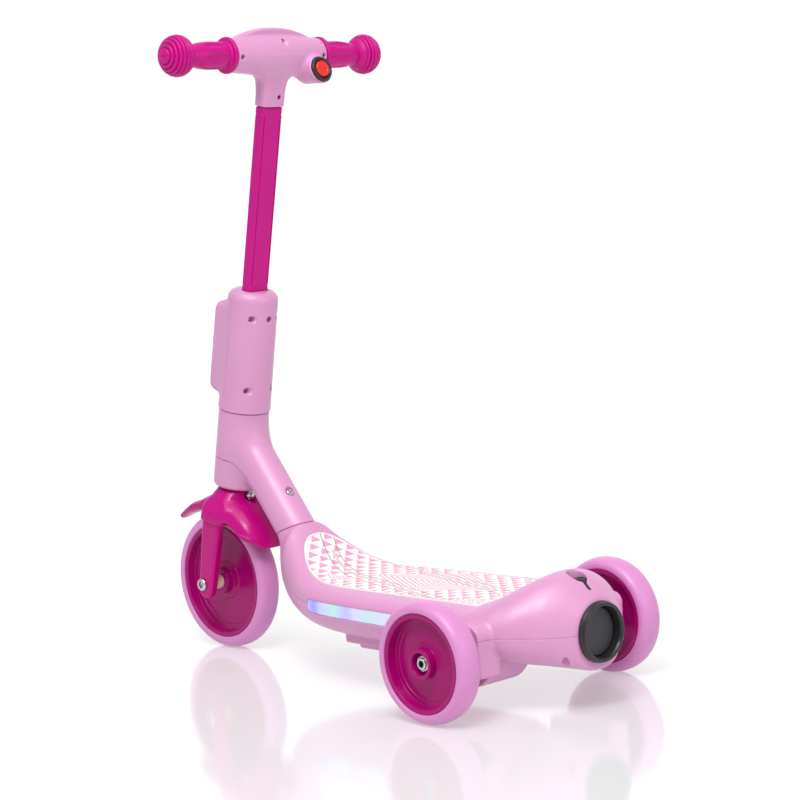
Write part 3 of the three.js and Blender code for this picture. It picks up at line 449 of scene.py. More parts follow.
STRIP_REAR, STRIP_FRONT, STRIP_Z, STRIP_HALF = 96.0, 247.0, 87.6, 7.0
STRIP_GLOW = [
    (0.0, (222, 232, 250)), (0.12, (210, 230, 250)), (0.27, (190, 240, 224)), (0.4, (214, 222, 250)),
    (0.5, (186, 188, 252)), (0.65, (176, 244, 214)), (0.78, (196, 214, 250)), (0.9, (126, 132, 250)),
    (1.0, (158, 188, 252))]


def lens_material():
    """Milky lens with coloured lamps behind it, spread along X."""
    material, tree, shader = new_material("strip_lens")
    split = node(tree, "ShaderNodeSeparateXYZ")
    link(tree, node(tree, "ShaderNodeTexCoord").outputs["Object"], split.inputs[0])
    ramp = node(tree, "ShaderNodeValToRGB")
    ramp.color_ramp.interpolation = "EASE"
    elements = ramp.color_ramp.elements
    for i, (at, colour) in enumerate(STRIP_GLOW):
        element = elements[i] if i < 2 else elements.new(at)
        element.position = at
        element.color = (*srgb(*colour), 1)
    ends = [(end + REAR_AXLE_X) * MM for end in (STRIP_REAR, STRIP_FRONT)]
    link(tree, ranged(tree, split.outputs["X"], *ends, 0, 1), ramp.inputs["Fac"])
    link(tree, ramp.outputs["Color"], shader.inputs["Emission Color"])
    preset(shader, Emission_Strength=0.72)
    milk = blend_colours(tree, noise(tree, 200), srgb(120, 112, 150), srgb(140, 134, 166))
    link(tree, milk, shader.inputs["Base Color"])
    finished(tree, shader, (0.2, 0.34), (90, 4), 500, 2, 0.1)
    return material


MAT_PRINT = mat_material()
LENS = lens_material()
BY_SLOT = {"pink_plastic": PINK, "magenta_plastic": MAGENTA, "grip_rubber": RUBBER, "tyre": TYRE,
           "mat": MAT_PRINT, "lens": LENS, "circuit_board": BOARD, "dark_plastic": DARK, "red_plastic": RED,
           "battery": BATTERY, "natural_nylon": NYLON, "steel": CHROME}
for part in frame["record"]["subparts"]:
    obj = frame["nodes"][part["node"]]
    obj.data.materials.clear()
    obj.data.materials.append(BY_SLOT[part["material_slot"]])

# ---- wheels
TYRE_EDGE = [
    (0, 13.2), (0.06, 14.3), (0.22, 14.75), (0.42, 14.6), (0.6, 13.7), (0.76, 11.9), (0.88, 9.3),
    (0.96, 5.6), (1.0, 1.6)]


def tyre_profile(rim, radius, half):
    """Closed outline of a solid tyre with soft shoulders, from the rim outwards."""
    side = [(rim + f * (radius - rim), y * half / 14.75) for f, y in TYRE_EDGE]
    t = np.linspace(0, len(side) - 1, 33)
    outer = list(zip(*[along([(i, p[axis]) for i, p in enumerate(side)], t) for axis in (0, 1)]))
    return outer + [(r, -y) for r, y in reversed(outer)]


def wheel(name, radius, rim, half, origin, body, dish, mirrored=False):
    """A tyre and its hub, about the Y axis through origin."""
    verts, faces = turned(tyre_profile(rim + 0.15, radius, half), 144)
    piece(name + "_tyre", about(verts, origin, (0, 1, 0)), faces, body, TYRE, sharp=0)
    verts, faces = turned(dish, 144)
    if mirrored:
        verts, faces = verts * [1, 1, -1], [tuple(reversed(f)) for f in faces]
    # the hub gets the darker copy of the magenta plastic, its shade painted into the colour
    piece(name + "_hub", about(verts, origin, (0, 1, 0)), faces, body, SHADED_HUB_PLASTIC, sharp=32)


REAR_HUB = eased([
    (5.3, 5.0), (11.4, 5.0), (11.6, 14.1), (15.9, 14.1), (16.1, 4.6), (22, 3.4), (40.6, 1.7), (41.2, 2.7),
    (45.6, 2.7), (46.7, 13.4), (51.75, 13.9), (51.75, -13.9), (46.7, -13.4), (45.6, -2.7), (41.2, -2.7),
    (40.6, -1.7), (22, -3.4), (16.1, -4.6), (15.9, -13.9), (5.3, -13.9)], 1.1)
FRONT_HUB = eased([
    (5.3, 14.1), (15.4, 14.1), (15.7, 5.4), (22.5, 4.2), (23.4, 3.0), (54, 1.4), (54.6, 2.5), (61.2, 2.7),
    (62.6, 13.2), (67.95, 13.7), (67.95, -13.7), (62.6, -13.2), (61.2, -2.7), (54.6, -2.5), (54, -1.4),
    (23.4, -3.0), (22.5, -4.2), (15.7, -5.4), (15.4, -14.1), (5.3, -14.1)], 1.1)
REAR_R, REAR_RIM, REAR_HALF, REAR_Y, AXLE_Z = 63.48, 51.8, 14.7, 139.5, 63.5
FRONT_R, FRONT_RIM, FRONT_HALF = 81.37, 68.0, 14.45
for name, side in (("rear_left", 1), ("rear_right", -1)):
    wheel(name, REAR_R, REAR_RIM, REAR_HALF, (0, REAR_Y * side, AXLE_Z), name + "_wheel", REAR_HUB, side < 0)
wheel("front", FRONT_R, FRONT_RIM, FRONT_HALF, (WHEEL_X, 0, WHEEL_S), "front_wheel", FRONT_HUB)

# ---- fork and mudguard
LEG_FOOT_S, LEG_FOOT_R = 77.5, 11.3


def leg_side(x, s, grow=0.0):
    """Side outline of a leg: round at the foot, widening upwards."""
    half = np.interp(s, [LEG_FOOT_S, 166], [LEG_FOOT_R, 15.6]) + grow
    straight = abs(x - 0.1) - half
    foot = hypot(x - 0.3, s - LEG_FOOT_S) - LEG_FOOT_R - grow
    return np.where(s < LEG_FOOT_S, foot, straight)


LEG_INNER, LEG_TOP = 28.25, 178
LEG_OUTER = [(161, 39.95), (166, 39.0), (170, 38.0), (176, 36.4), (183, 33.5)]    # half width at a height


def fork_field(x, y, s):
    leg = pair(leg_side(x, s), between(abs(y), LEG_INNER, along(LEG_OUTER, s)), 3.6)
    leg = most(leg, s - LEG_TOP)
    bridge = block(x, y, s, 0, 0, 175.5, 15, 34, 7.5, 3)
    body = smin(leg, bridge, 6)
    axle = hypot(x - WHEEL_X, s - WHEEL_S) - AXLE_HOLE_R
    return most(body, -axle)


fluid("fork", fork_field, (-22, -44, 60), (22, 44, 188), 1.0, "steering", MAGENTA, rounds=2)

CROWN_HALF = [(160, 43.0), (167, 42.6), (176, 40.8), (183, 37.2), (192, 31), (198, 26), (203, 21)]
CROWN_DEPTH = [(160, 20), (167, 20), (176, 20.5), (183, 21), (192, 20.5), (198, 19.6), (203, 17.5)]
CROWN_POWER = [(160, 9.0), (176, 9.0), (184, 6.5), (192, 3.2), (203, 2.6)]
HORN_TOP = [
    (455, 199), (478, 190.5), (495, 185.5), (514, 178.4), (529, 174.2), (542, 167.6), (554, 160.6),
    (563, 154.9), (568, 151.2)]
HORN_FOOT = [
    (455, 170), (478, 171), (495, 169.5), (514, 164.5), (529, 160.6), (542, 157.2), (554, 152.8),
    (563, 148.9), (568, 146.6)]
HORN_HALF = [(455, 17), (490, 17), (529, 15.4), (542, 13), (554, 10), (563, 7.2), (568, 5)]
FLAP_HALF = [(6, 37.5), (18, 36.6), (30, 35.6), (40, 34), (50, 31.5)]
FLAP_RIDGE = [(0, 115), (6, 114), (18, 112), (30, 109.5), (40, 106.4), (50, 102.2)]
FLAP_EDGE = [(6, 91), (18, 90), (30, 88.8), (40, 87.8), (50, 87)]
FLAP_THICK = 2.6
CROWN_MIDDLE, CROWN_REACH = 181.6, 19.9
HORN_ROOT, HORN_TIP = 470, 566.8
ARCH_R, ARCH_HALF = 87, 28.8          # the hollow over the wheel
CROWN_NUT_AT, NUT_SEAT_R = (-20.4, 0, 196.4), 7.6


def flap_arch(y, r, half, ridge, edge, inset):
    """Arched section of the flap, across y and out along r."""
    rise, wide = ridge - inset - edge, half - inset
    return oval(y, most(r - edge, 0), wide, rise, 2.5) * least(wide, rise)


def mudguard_field(x, y, s):
    half, depth = along(CROWN_HALF, s), along(CROWN_DEPTH, s)
    crown = oval(x + 1.5, y, depth, half, along(CROWN_POWER, s)) * least(half, depth)
    crown = pair(crown * 0.9, abs(s - CROWN_MIDDLE) - CROWN_REACH, 1.2)
    wx = STEER_X + x * math.cos(RAKE) - s * math.sin(RAKE)
    wz = x * math.sin(RAKE) + s * math.cos(RAKE)
    top, foot, wide = along(HORN_TOP, wx), along(HORN_FOOT, wx), along(HORN_HALF, wx)
    middle, thick = (top + foot) / 2, (top - foot) / 2
    horn = (((abs(y) / wide) ** 2.6 + (abs(wz - middle) / thick) ** 2.2) ** (1 / 2.4) - 1) * thick
    horn = most(pair(horn, wx - HORN_TIP, 1.5), HORN_ROOT - wx)
    r = hypot(x - WHEEL_X, s - WHEEL_S)
    back = np.degrees(np.arctan2(WHEEL_X - x, s - WHEEL_S))
    fh, fr, fe = along(FLAP_HALF, back), along(FLAP_RIDGE, back), along(FLAP_EDGE, back)
    outer = flap_arch(y, r, fh, fr, fe, 0)
    inner = flap_arch(y, r, fh, fr, fe, FLAP_THICK)
    flap = smax(outer, -inner, 1.0)
    reach = 50.5 - 9 * (abs(y) / 31) ** 3.2
    rim = smax(fe + 0.3 - r, (back - reach) * r * math.pi / 180 * 0.9, 9)
    lip = pair(most(flap_arch(y, r, fh, fr, fe, -0.9), -inner), -2.6 - rim)
    flap = smax(smin(flap, lip, 0.5), rim, 1.0)
    flap = most(flap, (4 - back) * 1.5)
    solid = smin(crown, flap, 0.5 + 6.5 * np.clip((back - 9) / 8, 0, 1))
    wheel_arch = pair(r - ARCH_R, abs(y) - ARCH_HALF, 2)
    solid = most(smin(solid, horn, 5), -wheel_arch)
    legs = most(leg_side(x, s, 0.45), abs(y) - along(LEG_OUTER, s) - 0.45)
    solid = most(solid, -most(legs, s - LEG_TOP - 0.6))
    nut_seat = most(hypot(y, s - CROWN_NUT_AT[2]) - NUT_SEAT_R, x + 19.5)
    return most(solid, -nut_seat)


fluid("mudguard", mudguard_field, (-92, -46, 120), (92, 46, 206), 0.85, "steering", MAGENTA)

# ---- head and neck
NECK_X, NECK_Z, NECK_LEAN, NECK_R = 354, 153, math.radians(38.6), 23.0
SEAM_ANGLE = math.radians(21)
SEAM_TILT = math.tan(SEAM_ANGLE)
HEAD_BOTTOM, HEAD_TOP, HEAD_R = 203, 296.9, 29.8
NECK_SPLIT, HEAD_SPLIT, STEEL_R = 12.0, 238, 17.4
RECESS_X, RECESS_Z, RECESS_R = 358.9, 196.3, 6.2
BOLT_OUT = (-0.78, 0, 0.625)          # the neck bolt's own direction


def to_steering(x, z):
    """Steering-frame x and s of a chassis point."""
    dx = x - STEER_X
    return dx * math.cos(RAKE) + z * math.sin(RAKE), -dx * math.sin(RAKE) + z * math.cos(RAKE)


def along_neck(x, z):
    """Distance up the neck's axis and forward of it, for chassis points."""
    dx, dz = x - NECK_X, z - NECK_Z
    c, s = math.cos(NECK_LEAN), math.sin(NECK_LEAN)
    return dx * s + dz * c, dx * c - dz * s


def neck_body(x, y, z):
    sx, ss = to_steering(x, z)
    drum = hypot(sx, y) - HEAD_R
    head = pair(drum, between(ss, HEAD_BOTTOM, HEAD_TOP), 0.6)
    head = most(head, pair(drum, between(ss, HEAD_BOTTOM, HEAD_TOP + 40), 4.2))
    t, front = along_neck(x, z)
    neck = most(hypot(front, y) - NECK_R, t - 124)
    body = most(smin(head, neck, 16), least(HEAD_BOTTOM - ss, sx + 22))
    below = (NECK_Z - (x - NECK_X) * SEAM_TILT + 0.45 - z) * math.cos(SEAM_ANGLE)
    return smax(body, below, 1.0)


def neck_recess(x, y, z):
    """Round pocket of the neck bolt."""
    dx, dz = x - RECESS_X, z - RECESS_Z
    u, v = dx * BOLT_OUT[0] + dz * BOLT_OUT[2], dx * BOLT_OUT[2] - dz * BOLT_OUT[0]
    return pair(hypot(v, y) - RECESS_R, -(u + 3.6), 0.5)


def lower_cover(x, z):
    """Negative under the joint line: round the head, then down the neck."""
    return smax(to_steering(x, z)[1] - HEAD_SPLIT, NECK_SPLIT - along_neck(x, z)[1], 4)


def steel_room(x, y, z):
    """Room for the steering tube."""
    return hypot(to_steering(x, z)[0], y) - STEEL_R


def upper_neck_field(x, y, z):
    body = smax(neck_body(x, y, z), 0.22 - lower_cover(x, z), 0.6)
    return most(most(body, -neck_recess(x, y, z)), -steel_room(x, y, z))


def lower_neck_field(x, y, z):
    body = smax(neck_body(x, y, z) + 0.15, lower_cover(x, z) + 0.22, 0.6)
    return most(body, -steel_room(x, y, z))


fluid("neck_upper_cover", upper_neck_field, (322, -33, 140), (480, 33, 300), 0.95, "frame", PINK)
fluid("neck_lower_cover", lower_neck_field, (355, -33, 140), (485, 33, 252), 0.95, "frame", PINK)

# ---- column and its cover
COVER_BOTTOM, COVER_TOP, COVER_R = 297.6, 441.0, 30.2
BULGE_DEPTH, BULGE_HALF, BULGE_MIDDLE = 42, 25, 368


def bar_section(x, y, grow):
    """Rounded rectangle of the column, 16 by 30.5."""
    qx, qy = abs(x - BAR_X) - 8 - grow + 4.6, abs(y) - 15.25 - grow + 4.6
    return hypot(most(qx, 0), most(qy, 0)) + least(most(qx, qy), 0) - 4.6


def cover_field(x, y, s):
    r = np.interp(s, [COVER_BOTTOM, COVER_TOP], [30.9, 29.5])
    side = hypot(x, y) - r
    shell = most(pair(side, between(s, COVER_BOTTOM, COVER_TOP), 0.7), pair(side, s - COVER_TOP, 10.5))
    bulge = block(x, y, 0, 0, 0, 0, BULGE_DEPTH, BULGE_HALF, 50, 8)
    off = abs(s - BULGE_MIDDLE)
    high = pair(abs(x) - BULGE_DEPTH, off - 57, 17)
    bulge = smax(smax(bulge, high, 5), pair(abs(y) - BULGE_HALF, off - 58, 15), 3)
    return smin(shell, most(bulge, -x), 6)


COVER_HOLES = [(18.5, 411.5), (-2.0, 411.5), (-21.5, 411.5), (18.5, 326), (-21.5, 326)]


def countersink(x, y, s, at_y, at_s, r=3.5):
    """A round hole seen from behind, a little flared at its mouth."""
    surface = -np.sqrt(COVER_R ** 2 - at_y ** 2)
    d = hypot(y - at_y, s - at_s)
    hole = pair(d - r, x - surface - 9, 0.4)
    mouth = d - r - 0.6 - 0.55 * (surface - x)
    return least(hole, most(mouth, x - surface - 1.2))


def cover_rear_field(x, y, s):
    body = smax(cover_field(x, y, s), x - 3.85, 0.5)
    for at_y, at_s in COVER_HOLES:
        body = smax(body, -countersink(x, y, s, at_y, at_s), 0.6)
    return most(body, -bar_section(x, y, 0.4))


def cover_front_field(x, y, s):
    body = smax(cover_field(x, y, s), 4.15 - x, 0.5)
    return most(body, -bar_section(x, y, 0.4))


fluid("column_cover_rear", cover_rear_field, (-33, -33, 295), (7, 33, 444), 0.8, "steering", PINK, rounds=2)
fluid("column_cover_front", cover_front_field, (1, -33, 295), (45, 33, 444), 0.95, "steering", PINK)


PANEL_FOOT, PANEL_TOP = 449, 645.5    # sunk faces of the column
SOCKET_S = 654.9                      # from here up it is slimmer, inside the housing


def column_field(x, y, s):
    body = bar_section(x, y, 0.0)
    middle, half = (PANEL_TOP + PANEL_FOOT) / 2, (PANEL_TOP - PANEL_FOOT) / 2
    panels = least(block(x, y, s, BAR_X, 0, middle, 20, 11.6, half),
                   block(x, y, s, BAR_X, 0, middle, 4.4, 30, half))
    recess = most(panels, -bar_section(x, y, -0.4))
    body = smax(body, -recess, 0.3)
    groove = most(abs(abs(y) - 11.9) - 0.5, abs(s - 547.2) - 98.5)
    lines = least(abs(s - 646.6) - 0.5, least(abs(s - 651.4) - 0.3, abs(s - 447.8) - 0.5))
    body = smax(body, -most(groove, -bar_section(x, y, -1.3)), 0.15)
    body = smax(body, -most(lines, -bar_section(x, y, -0.55)), 0.2)
    body = np.where(s > SOCKET_S, bar_section(x, y, -1.4), body)
    return pair(body, abs(s - 560) - 141, 0.8)


fluid("column", column_field, (-13, -18, 416), (9, 18, 704), np.array([0.55, 0.5, 0.9]), "steering",
      COLUMN_PAINT, rounds=2)

# ---- handlebar housing
BARREL = [(0, 22.8), (24, 22.3), (46, 20.6), (60, 19.4), (66, 18.9)]
STEM_DEPTH = [(650, 9.9), (656, 9.9), (670, 10.2), (682, 11.4), (692, 13.5), (704, 17)]
STEM_HALF = [(650, 16.2), (656, 16.2), (670, 16.5), (682, 17.4), (692, 20.5), (704, 28)]
CREST_TOP = [(0, 744.0), (12, 743.7), (24, 742.2), (36, 739.4), (46, 736.3), (54, 732.4), (62, 725.4)]
BUTTON_AT = np.array([-36.0, -45.0, 702.6])
BUTTON_PITCH = math.radians(26.4)
BUTTON_OUT = np.array([-math.cos(BUTTON_PITCH), 0, math.sin(BUTTON_PITCH)])


def from_button(x, y, s):
    """Distance out along the button's axis, and away from it."""
    dx, dy, ds = x - BUTTON_AT[0], y - BUTTON_AT[1], s - BUTTON_AT[2]
    out = dx * BUTTON_OUT[0] + ds * BUTTON_OUT[2]
    side = dx * BUTTON_OUT[2] - ds * BUTTON_OUT[0]
    return out, hypot(side, dy)


def housing_body(x, y, s):
    ay = abs(y)
    radial = hypot(x - BAR_X, s - BAR_S)
    barrel = pair(radial - along(BARREL, ay), ay - 66, 1.8)
    depth, half = along(STEM_DEPTH, s), along(STEM_HALF, s)
    stem = most(oval(x - BAR_X, y, depth, half, 4.5) * depth * 0.9, s - 712)
    body = smin(barrel, most(stem, 656 - s), 9)
    crest = (s - along(CREST_TOP, ay) + most(x - 4, 0) ** 2 * 0.035) * 0.85
    crest = smax(pair(crest, BAR_X - 1.0 - x, 1.2), x - 15.5, 6)
    crest = most(crest, most(712 - s, ay - 62))
    out = from_button(x, y, s)[0]
    away = from_button(x, y, s - np.clip(-out, 0, 40) * 0.3)[1]
    boss = most(pair(away - 16.4, out + 0.4, 2.4), -(out + 30))
    return smin(smin(body, crest, 1.6), smax(boss, x - 2, 12), 7)


HOUSING_HOLES = [(60.0, 714.5, 2.4), (-2.5, 731.5, 2.3), (-6.0, 667.0, 2.3), (-61.0, 715.5, 2.4)]


def housing_room(x, y, s):
    """Room for the bar and the column."""
    bar = hypot(x - BAR_X, s - BAR_S) - 9.3
    column = most(bar_section(x, y, -1.0), s - 702)
    return least(bar, column)


def housing_rear_field(x, y, s):
    body = smax(housing_body(x, y, s), x - (BAR_X - 0.15), 0.5)
    for at_y, at_s, r in HOUSING_HOLES:
        d = hypot(y - at_y, s - at_s)
        face = housing_face(at_y, at_s)
        hole = pair(d - r, x - face - 7, 0.3)
        mouth = most(d - r - 0.8 - 0.5 * (face - x), x - face - 1.6)
        body = smax(body, -least(hole, mouth), 0.5)
    out, away = from_button(x, y, s)
    seat = most(away - 14.7, -6 - out)
    return most(most(body, -seat), -housing_room(x, y, s))


def housing_face(at_y, at_s):
    """Where the rear of the housing lies at a hole."""
    xs = np.linspace(-40, 0, 401)
    inside = housing_body(xs, np.full_like(xs, at_y), np.full_like(xs, at_s)) < 0
    return xs[np.argmax(inside)]


def housing_front_field(x, y, s):
    body = smax(housing_body(x, y, s), (BAR_X + 0.15) - x, 0.5)
    return most(body, -housing_room(x, y, s))


fluid("handlebar_housing_rear", housing_rear_field, (-48, -69, 653), (0, 69, 748), 0.8, "steering", PINK)
fluid("handlebar_housing_front", housing_front_field, (-5, -69, 653), (24, 69, 748), 0.9, "steering", PINK)


def button_piece(name, profile, body, material):
    verts, faces = turned(profile, 96)
    piece(name, about(verts, BUTTON_AT, BUTTON_OUT), faces, body, material, sharp=30)


button_piece("button_bezel", eased([(9.85, -5.7), (14.3, -5.7), (14.4, 0.9), (13.2, 1.9), (11.4, 1.9),
                                    (9.9, 0.2), (9.85, -5.0)], 0.6), "steering", DARK)
button_piece("push_button", [(0, -9)] + eased([(9.3, -9), (9.4, 1.9), (8.6, 2.9), (6.4, 3.0), (5.9, 2.5),
                                               (3, 2.6)], 0.5) + [(0, 2.7)], "button", RED)

# ---- grips
FLUTES = 6
BORE_R, GRIP_START, BORE_LONG = 9.15, 66.4, 62
WAIST = [(73.6, 14.9), (84, 15.4), (95, 15.5), (104, 15.0), (112, 13.9), (117.5, 12.9), (120.4, 12.7)]
BALL_Y, BALL_HALF, BALL_R = 139.4, 19.0, 23.2
RIDGE_PITCH, RIDGE_DEPTH = 5.2, 2.7


def grip_profile():
    """(r, y) from the bore at the flange, out over the ball, back down the bore."""
    points = eased([(BORE_R, GRIP_START), (19.2, 66.4), (20.6, 67.6), (20.6, 70.2), (19.6, 71.4),
                    (15.6, 71.9), (14.9, 73.6)], 0.8)
    points += [(float(along(WAIST, y)), y) for y in np.linspace(74.4, 120.4, 47)]
    ball = []
    for t in np.linspace(1, 0, 190):
        angle = 2.62 * t
        r, y = BALL_R * math.sin(angle), BALL_Y + BALL_HALF * math.cos(angle)
        if r < 4.4 and angle < 1:
            break
        arc = angle * 21 - 6.4
        ridge = abs(math.cos(arc / RIDGE_PITCH * math.pi)) if arc > 0 else 1
        sink = RIDGE_DEPTH * (1 - ridge ** 0.55) * min(1, max(0, (2.3 - angle) / 0.3))
        ball.append((max(r - sink * math.sin(angle), 0.1), y - sink * math.cos(angle)))
    points += [p for p in ball if not (p[1] > 121 and p[0] < 4.5)]
    tip = BALL_Y + BALL_HALF
    return points + [(4.4, tip - 0.7), (3.9, tip - 0.25), (1.3, tip - 0.2), (1.1, tip - 0.6), (1.1, tip - 4),
                     (0, tip - 4)]


def flute(y, t):
    """Lens-shaped hollows round the handle."""
    phase = (t - math.pi) / (2 * math.pi) * FLUTES
    off = (phase - np.round(phase)) / FLUTES * 2 * math.pi * 15
    length = np.clip(1 - ((y - 93) / 17.0) ** 2, 0, 1)
    width = 5.4 * length + 1e-3
    inside = np.clip(1 - (off / width) ** 2, 0, 1)
    return -2.7 * inside * np.sqrt(length) * (length > 0.01)


def grip(side, name):
    bore_end = GRIP_START + BORE_LONG
    verts, faces = turned([(0, bore_end), (BORE_R, bore_end)] + grip_profile(), 144)
    h = verts[:, 2]
    radius = hypot(verts[:, 0], verts[:, 1])
    handle = (h > 74.5) & (h < 112) & (radius > 12.5)
    push = np.where(handle, flute(h, np.arctan2(verts[:, 1], verts[:, 0])), 0)
    verts[:, :2] *= np.where(radius > 0, (radius + push) / most(radius, 1e-6), 1)[:, None]
    verts = np.column_stack([verts[:, 0] + BAR_X, h * side, verts[:, 1] + BAR_S])
    piece(name, verts, outward(verts, faces), "steering", RUBBER, sharp=80)


grip(1, "grip_left")
grip(-1, "grip_right")

# ---- deck
TOP_LINE = [
    (-107, 114.6), (-102, 120), (-97, 125.2), (-88, 134), (-79, 139.8), (-68, 141.6), (-58, 139.6),
    (-40, 131), (-15, 116), (2, 110), (60, 110), (235, 110), (255, 112), (269, 115.5), (282, 121),
    (293, 128), (306, 138.5), (320, 149.5), (330, 158.5), (345, 172)]
SEAM_LINE = [
    (-107, 81), (-50, 82), (0, 84.5), (100, 87), (170, 88.3), (240, 89.5), (300, 92), (340, 104),
    (366, 135)]
BOTTOM_LINE = [
    (-107, 41), (-70, 45), (-20, 48), (200, 48.5), (240, 50), (270, 53), (300, 61), (325, 74), (341, 88),
    (352, 104), (360, 120), (366, 134)]
HALF_LINE = [
    (-107, 34.8), (-102, 41.5), (-97, 48), (-88, 58), (-74, 71), (-52, 88.5), (-32, 97.5), (0, 103),
    (40, 103), (97, 98), (167, 95), (220, 90.5), (258, 79.5), (285, 67.5), (310, 54.8), (330, 43.8),
    (345, 34.3), (356, 24.8), (362, 17), (366, 8)]
TOP_SQUARE = [
    (-107, 2), (-60, 1.95), (-32, 2.25), (0, 3.4), (40, 4.2), (220, 4.2), (270, 3.8), (310, 3), (366, 2.5)]
LOWER_SQUARE = 2.5
DECK_REAR, DECK_FRONT = -107.0, 365.2
DECK_STEP = np.array([1.6, 1.2, 1.1])
DECK_WALL = 3.0
MAT_LINE = [
    (-4, 67.5), (150, 67.5), (187, 67.3), (222, 64.5), (251, 58), (269, 52.3), (283, 46.5), (296, 39),
    (308, 29.5), (316, 18.5), (319.4, 10.5), (320.8, 0)]
ARM_X, ARM_FOOT, ARM_TOP, ARM_CORNER = 44.0, 44.0, 97.5, 12.0
PORT_Z, PORT_HOLE = 81.0, 29.65
KEYHOLE_X, KEYHOLE_R, SLOT_HALF, SLOT_END = -80.0, 10.5, 2.6, -98.0
DRUM_X, DRUM_R = -5.0, 36.2
TAIL_SCREW_X = -74


def neck_plane(x):
    """Height of the joint between deck and neck."""
    return NECK_Z - (x - NECK_X) * SEAM_TILT


def deck_ridge(x):
    return smin(along(TOP_LINE, x), neck_plane(x), 3)


def deck_skin(x, y, z):
    """Distance from the outside of the bare boat shape."""
    seam, half = along(SEAM_LINE, x), along(HALF_LINE, x)
    up, down = deck_ridge(x) - seam, seam - along(BOTTOM_LINE, x)
    above = oval(y, most(z - seam, 0), half, up, along(TOP_SQUARE, x))
    below = oval(y, most(seam - z, 0), half, down, LOWER_SQUARE)
    f = np.where(z >= seam, above * least(half, up), below * least(half, down))
    return evened(f, DECK_STEP)


def neck_stub(x, y, z, r):
    t, front = along_neck(x, z)
    return most(hypot(front, y) - r, most(-50 - t, t - 30))


def arm(x, y, z):
    """The two arms that carry the rear wheels, from side to side."""
    corner = np.where(z > (ARM_TOP + ARM_FOOT) / 2, ARM_CORNER, 2.5)
    qx, qz = abs(x) - ARM_X + corner, between(z, ARM_FOOT, ARM_TOP) + corner
    side = hypot(most(qx, 0), most(qz, 0)) + least(most(qx, qz), 0) - corner
    return pair(side, abs(abs(y) - 96) - 16, 2.2)


def strip_side(x, z, grow):
    """Outline of the light strip seen from the side: square behind, round in front."""
    half = STRIP_HALF + grow
    nose = STRIP_FRONT + grow - half
    body = np.where(x > nose, hypot(x - nose, z - STRIP_Z) - half, abs(z - STRIP_Z) - half)
    return pair(body, STRIP_REAR - grow - x, 1.5)


def mat_edge(x, y):
    """Distance outside the mat's outline, seen from above."""
    wide = along(MAT_LINE, x)
    lean = along(MAT_LINE, x + 0.5) - along(MAT_LINE, x - 0.5)
    side = (abs(y) - wide) / np.sqrt(1 + lean ** 2)
    return pair(side, -x, 4.0)


def deck_shell(x, y, z):
    """The whole moulding before it is split along the joint line: outside and hollow."""
    skin = deck_skin(x, y, z)
    outer = pair(pair(skin, DECK_REAR - x, 2.4), x - DECK_FRONT, 2.4)
    outer = smin(outer, arm(x, y, z), 3.5)
    outer = np.where(x > 290, smin(outer, neck_stub(x, y, z, NECK_R), 7), outer)
    cap = (z - neck_plane(x)) * math.cos(SEAM_ANGLE)
    outer = np.where(x > 325, smax(outer, cap, 1.2), outer)
    hollow = most(most(skin + DECK_WALL, DECK_REAR + DECK_WALL - x), x - DECK_FRONT + 4.5)
    hollow = most(hollow, -neck_stub(x, y, z, NECK_R + DECK_WALL))
    return skin, outer, hollow


def deck_cuts(x, y, z):
    """Holes through both shells: axle, port, steel neck, light strips."""
    axle = most(hypot(x, z - AXLE_Z) - AXLE_HOLE_R, abs(y) - 118)
    port = most(hypot(y, z - PORT_Z) - PORT_HOLE, x + 90)
    t, front = along_neck(x, z)
    steel = most(hypot(front, y) - 13.35, -46 - t)
    strip = most(strip_side(x, z, 0.06), 60 - abs(y))
    return least(least(axle, port), least(steel, strip))


def screw_wells(x, y, z, grow=0.0):
    """Round pockets from below, where screws join the shells; grown, the posts round them."""
    wells = []
    for at_x, at_y, r, top in ((-95, 39.5, 3.7, 61.5), (-35, 80.5, 4.0, 61.5)):
        wells.append(pair(hypot(x - at_x, abs(y) - at_y) - r - grow, z - top - grow, 1.5))
    return least(*wells)


def upper_shell_field(x, y, z):
    skin, body, hollow = deck_shell(x, y, z)
    body = most(body, along(SEAM_LINE, x) + 0.01 - z)
    body = most(body, -hollow)
    collar = most(hypot(x - KEYHOLE_X, y) - KEYHOLE_R - 2.6, 121 - z)
    body = least(body, most(collar, skin + 0.8))
    cuts = deck_cuts(x, y, z)
    body = smax(body, -cuts, 0.7)
    keyhole = least(hypot(x - KEYHOLE_X, y) - KEYHOLE_R,
                    pair(abs(y) - SLOT_HALF, most(SLOT_END - x, x - KEYHOLE_X), 1.5))
    keyhole = most(keyhole, 120 - z)
    body = smax(body, -keyhole, 0.9)
    pocket = pair(mat_edge(x, y) - 0.25, -(skin + 1.3), 0.4)
    pocket = most(pocket, 100 - z)
    return smax(body, -pocket, 0.5)


def lower_shell_field(x, y, z):
    skin, body, hollow = deck_shell(x, y, z)
    box = block(x, y, z, 120, 0, 52, 96, 58, 8, 3)
    tray = block(x, y, z, 115, 0, 49.25, 85, 52, 10.75, 3)
    body = smin(body, smin(box, tray, 1.5), 1.5)
    body = most(body + 0.15, z - along(SEAM_LINE, x) - 0.9)
    body = most(body, -hollow)
    body = smax(body, -deck_cuts(x, y, z), 0.7)
    bay = least(block(x, y, z, 113, 0, 61, 75, 38, 18.7, 0), block(x, y, z, 113, 0, 55, 69, 33, 25, 0))
    seat = block(x, y, z, 113, 0, 36, 77, 42, 5.5, 1)
    drum = most(hypot(x - DRUM_X, z - AXLE_Z) - DRUM_R - 0.4, abs(y - 60) - 31.4)
    body = most(body, -least(least(bay, seat), drum))
    posts = most(screw_wells(x, y, z, 1.8), skin + 1.0)
    body = smax(least(body, posts), -screw_wells(x, y, z), 0.8)
    tail = most(hypot(x - TAIL_SCREW_X, y) - 3.35, z - 49.2)
    return most(body, -tail)


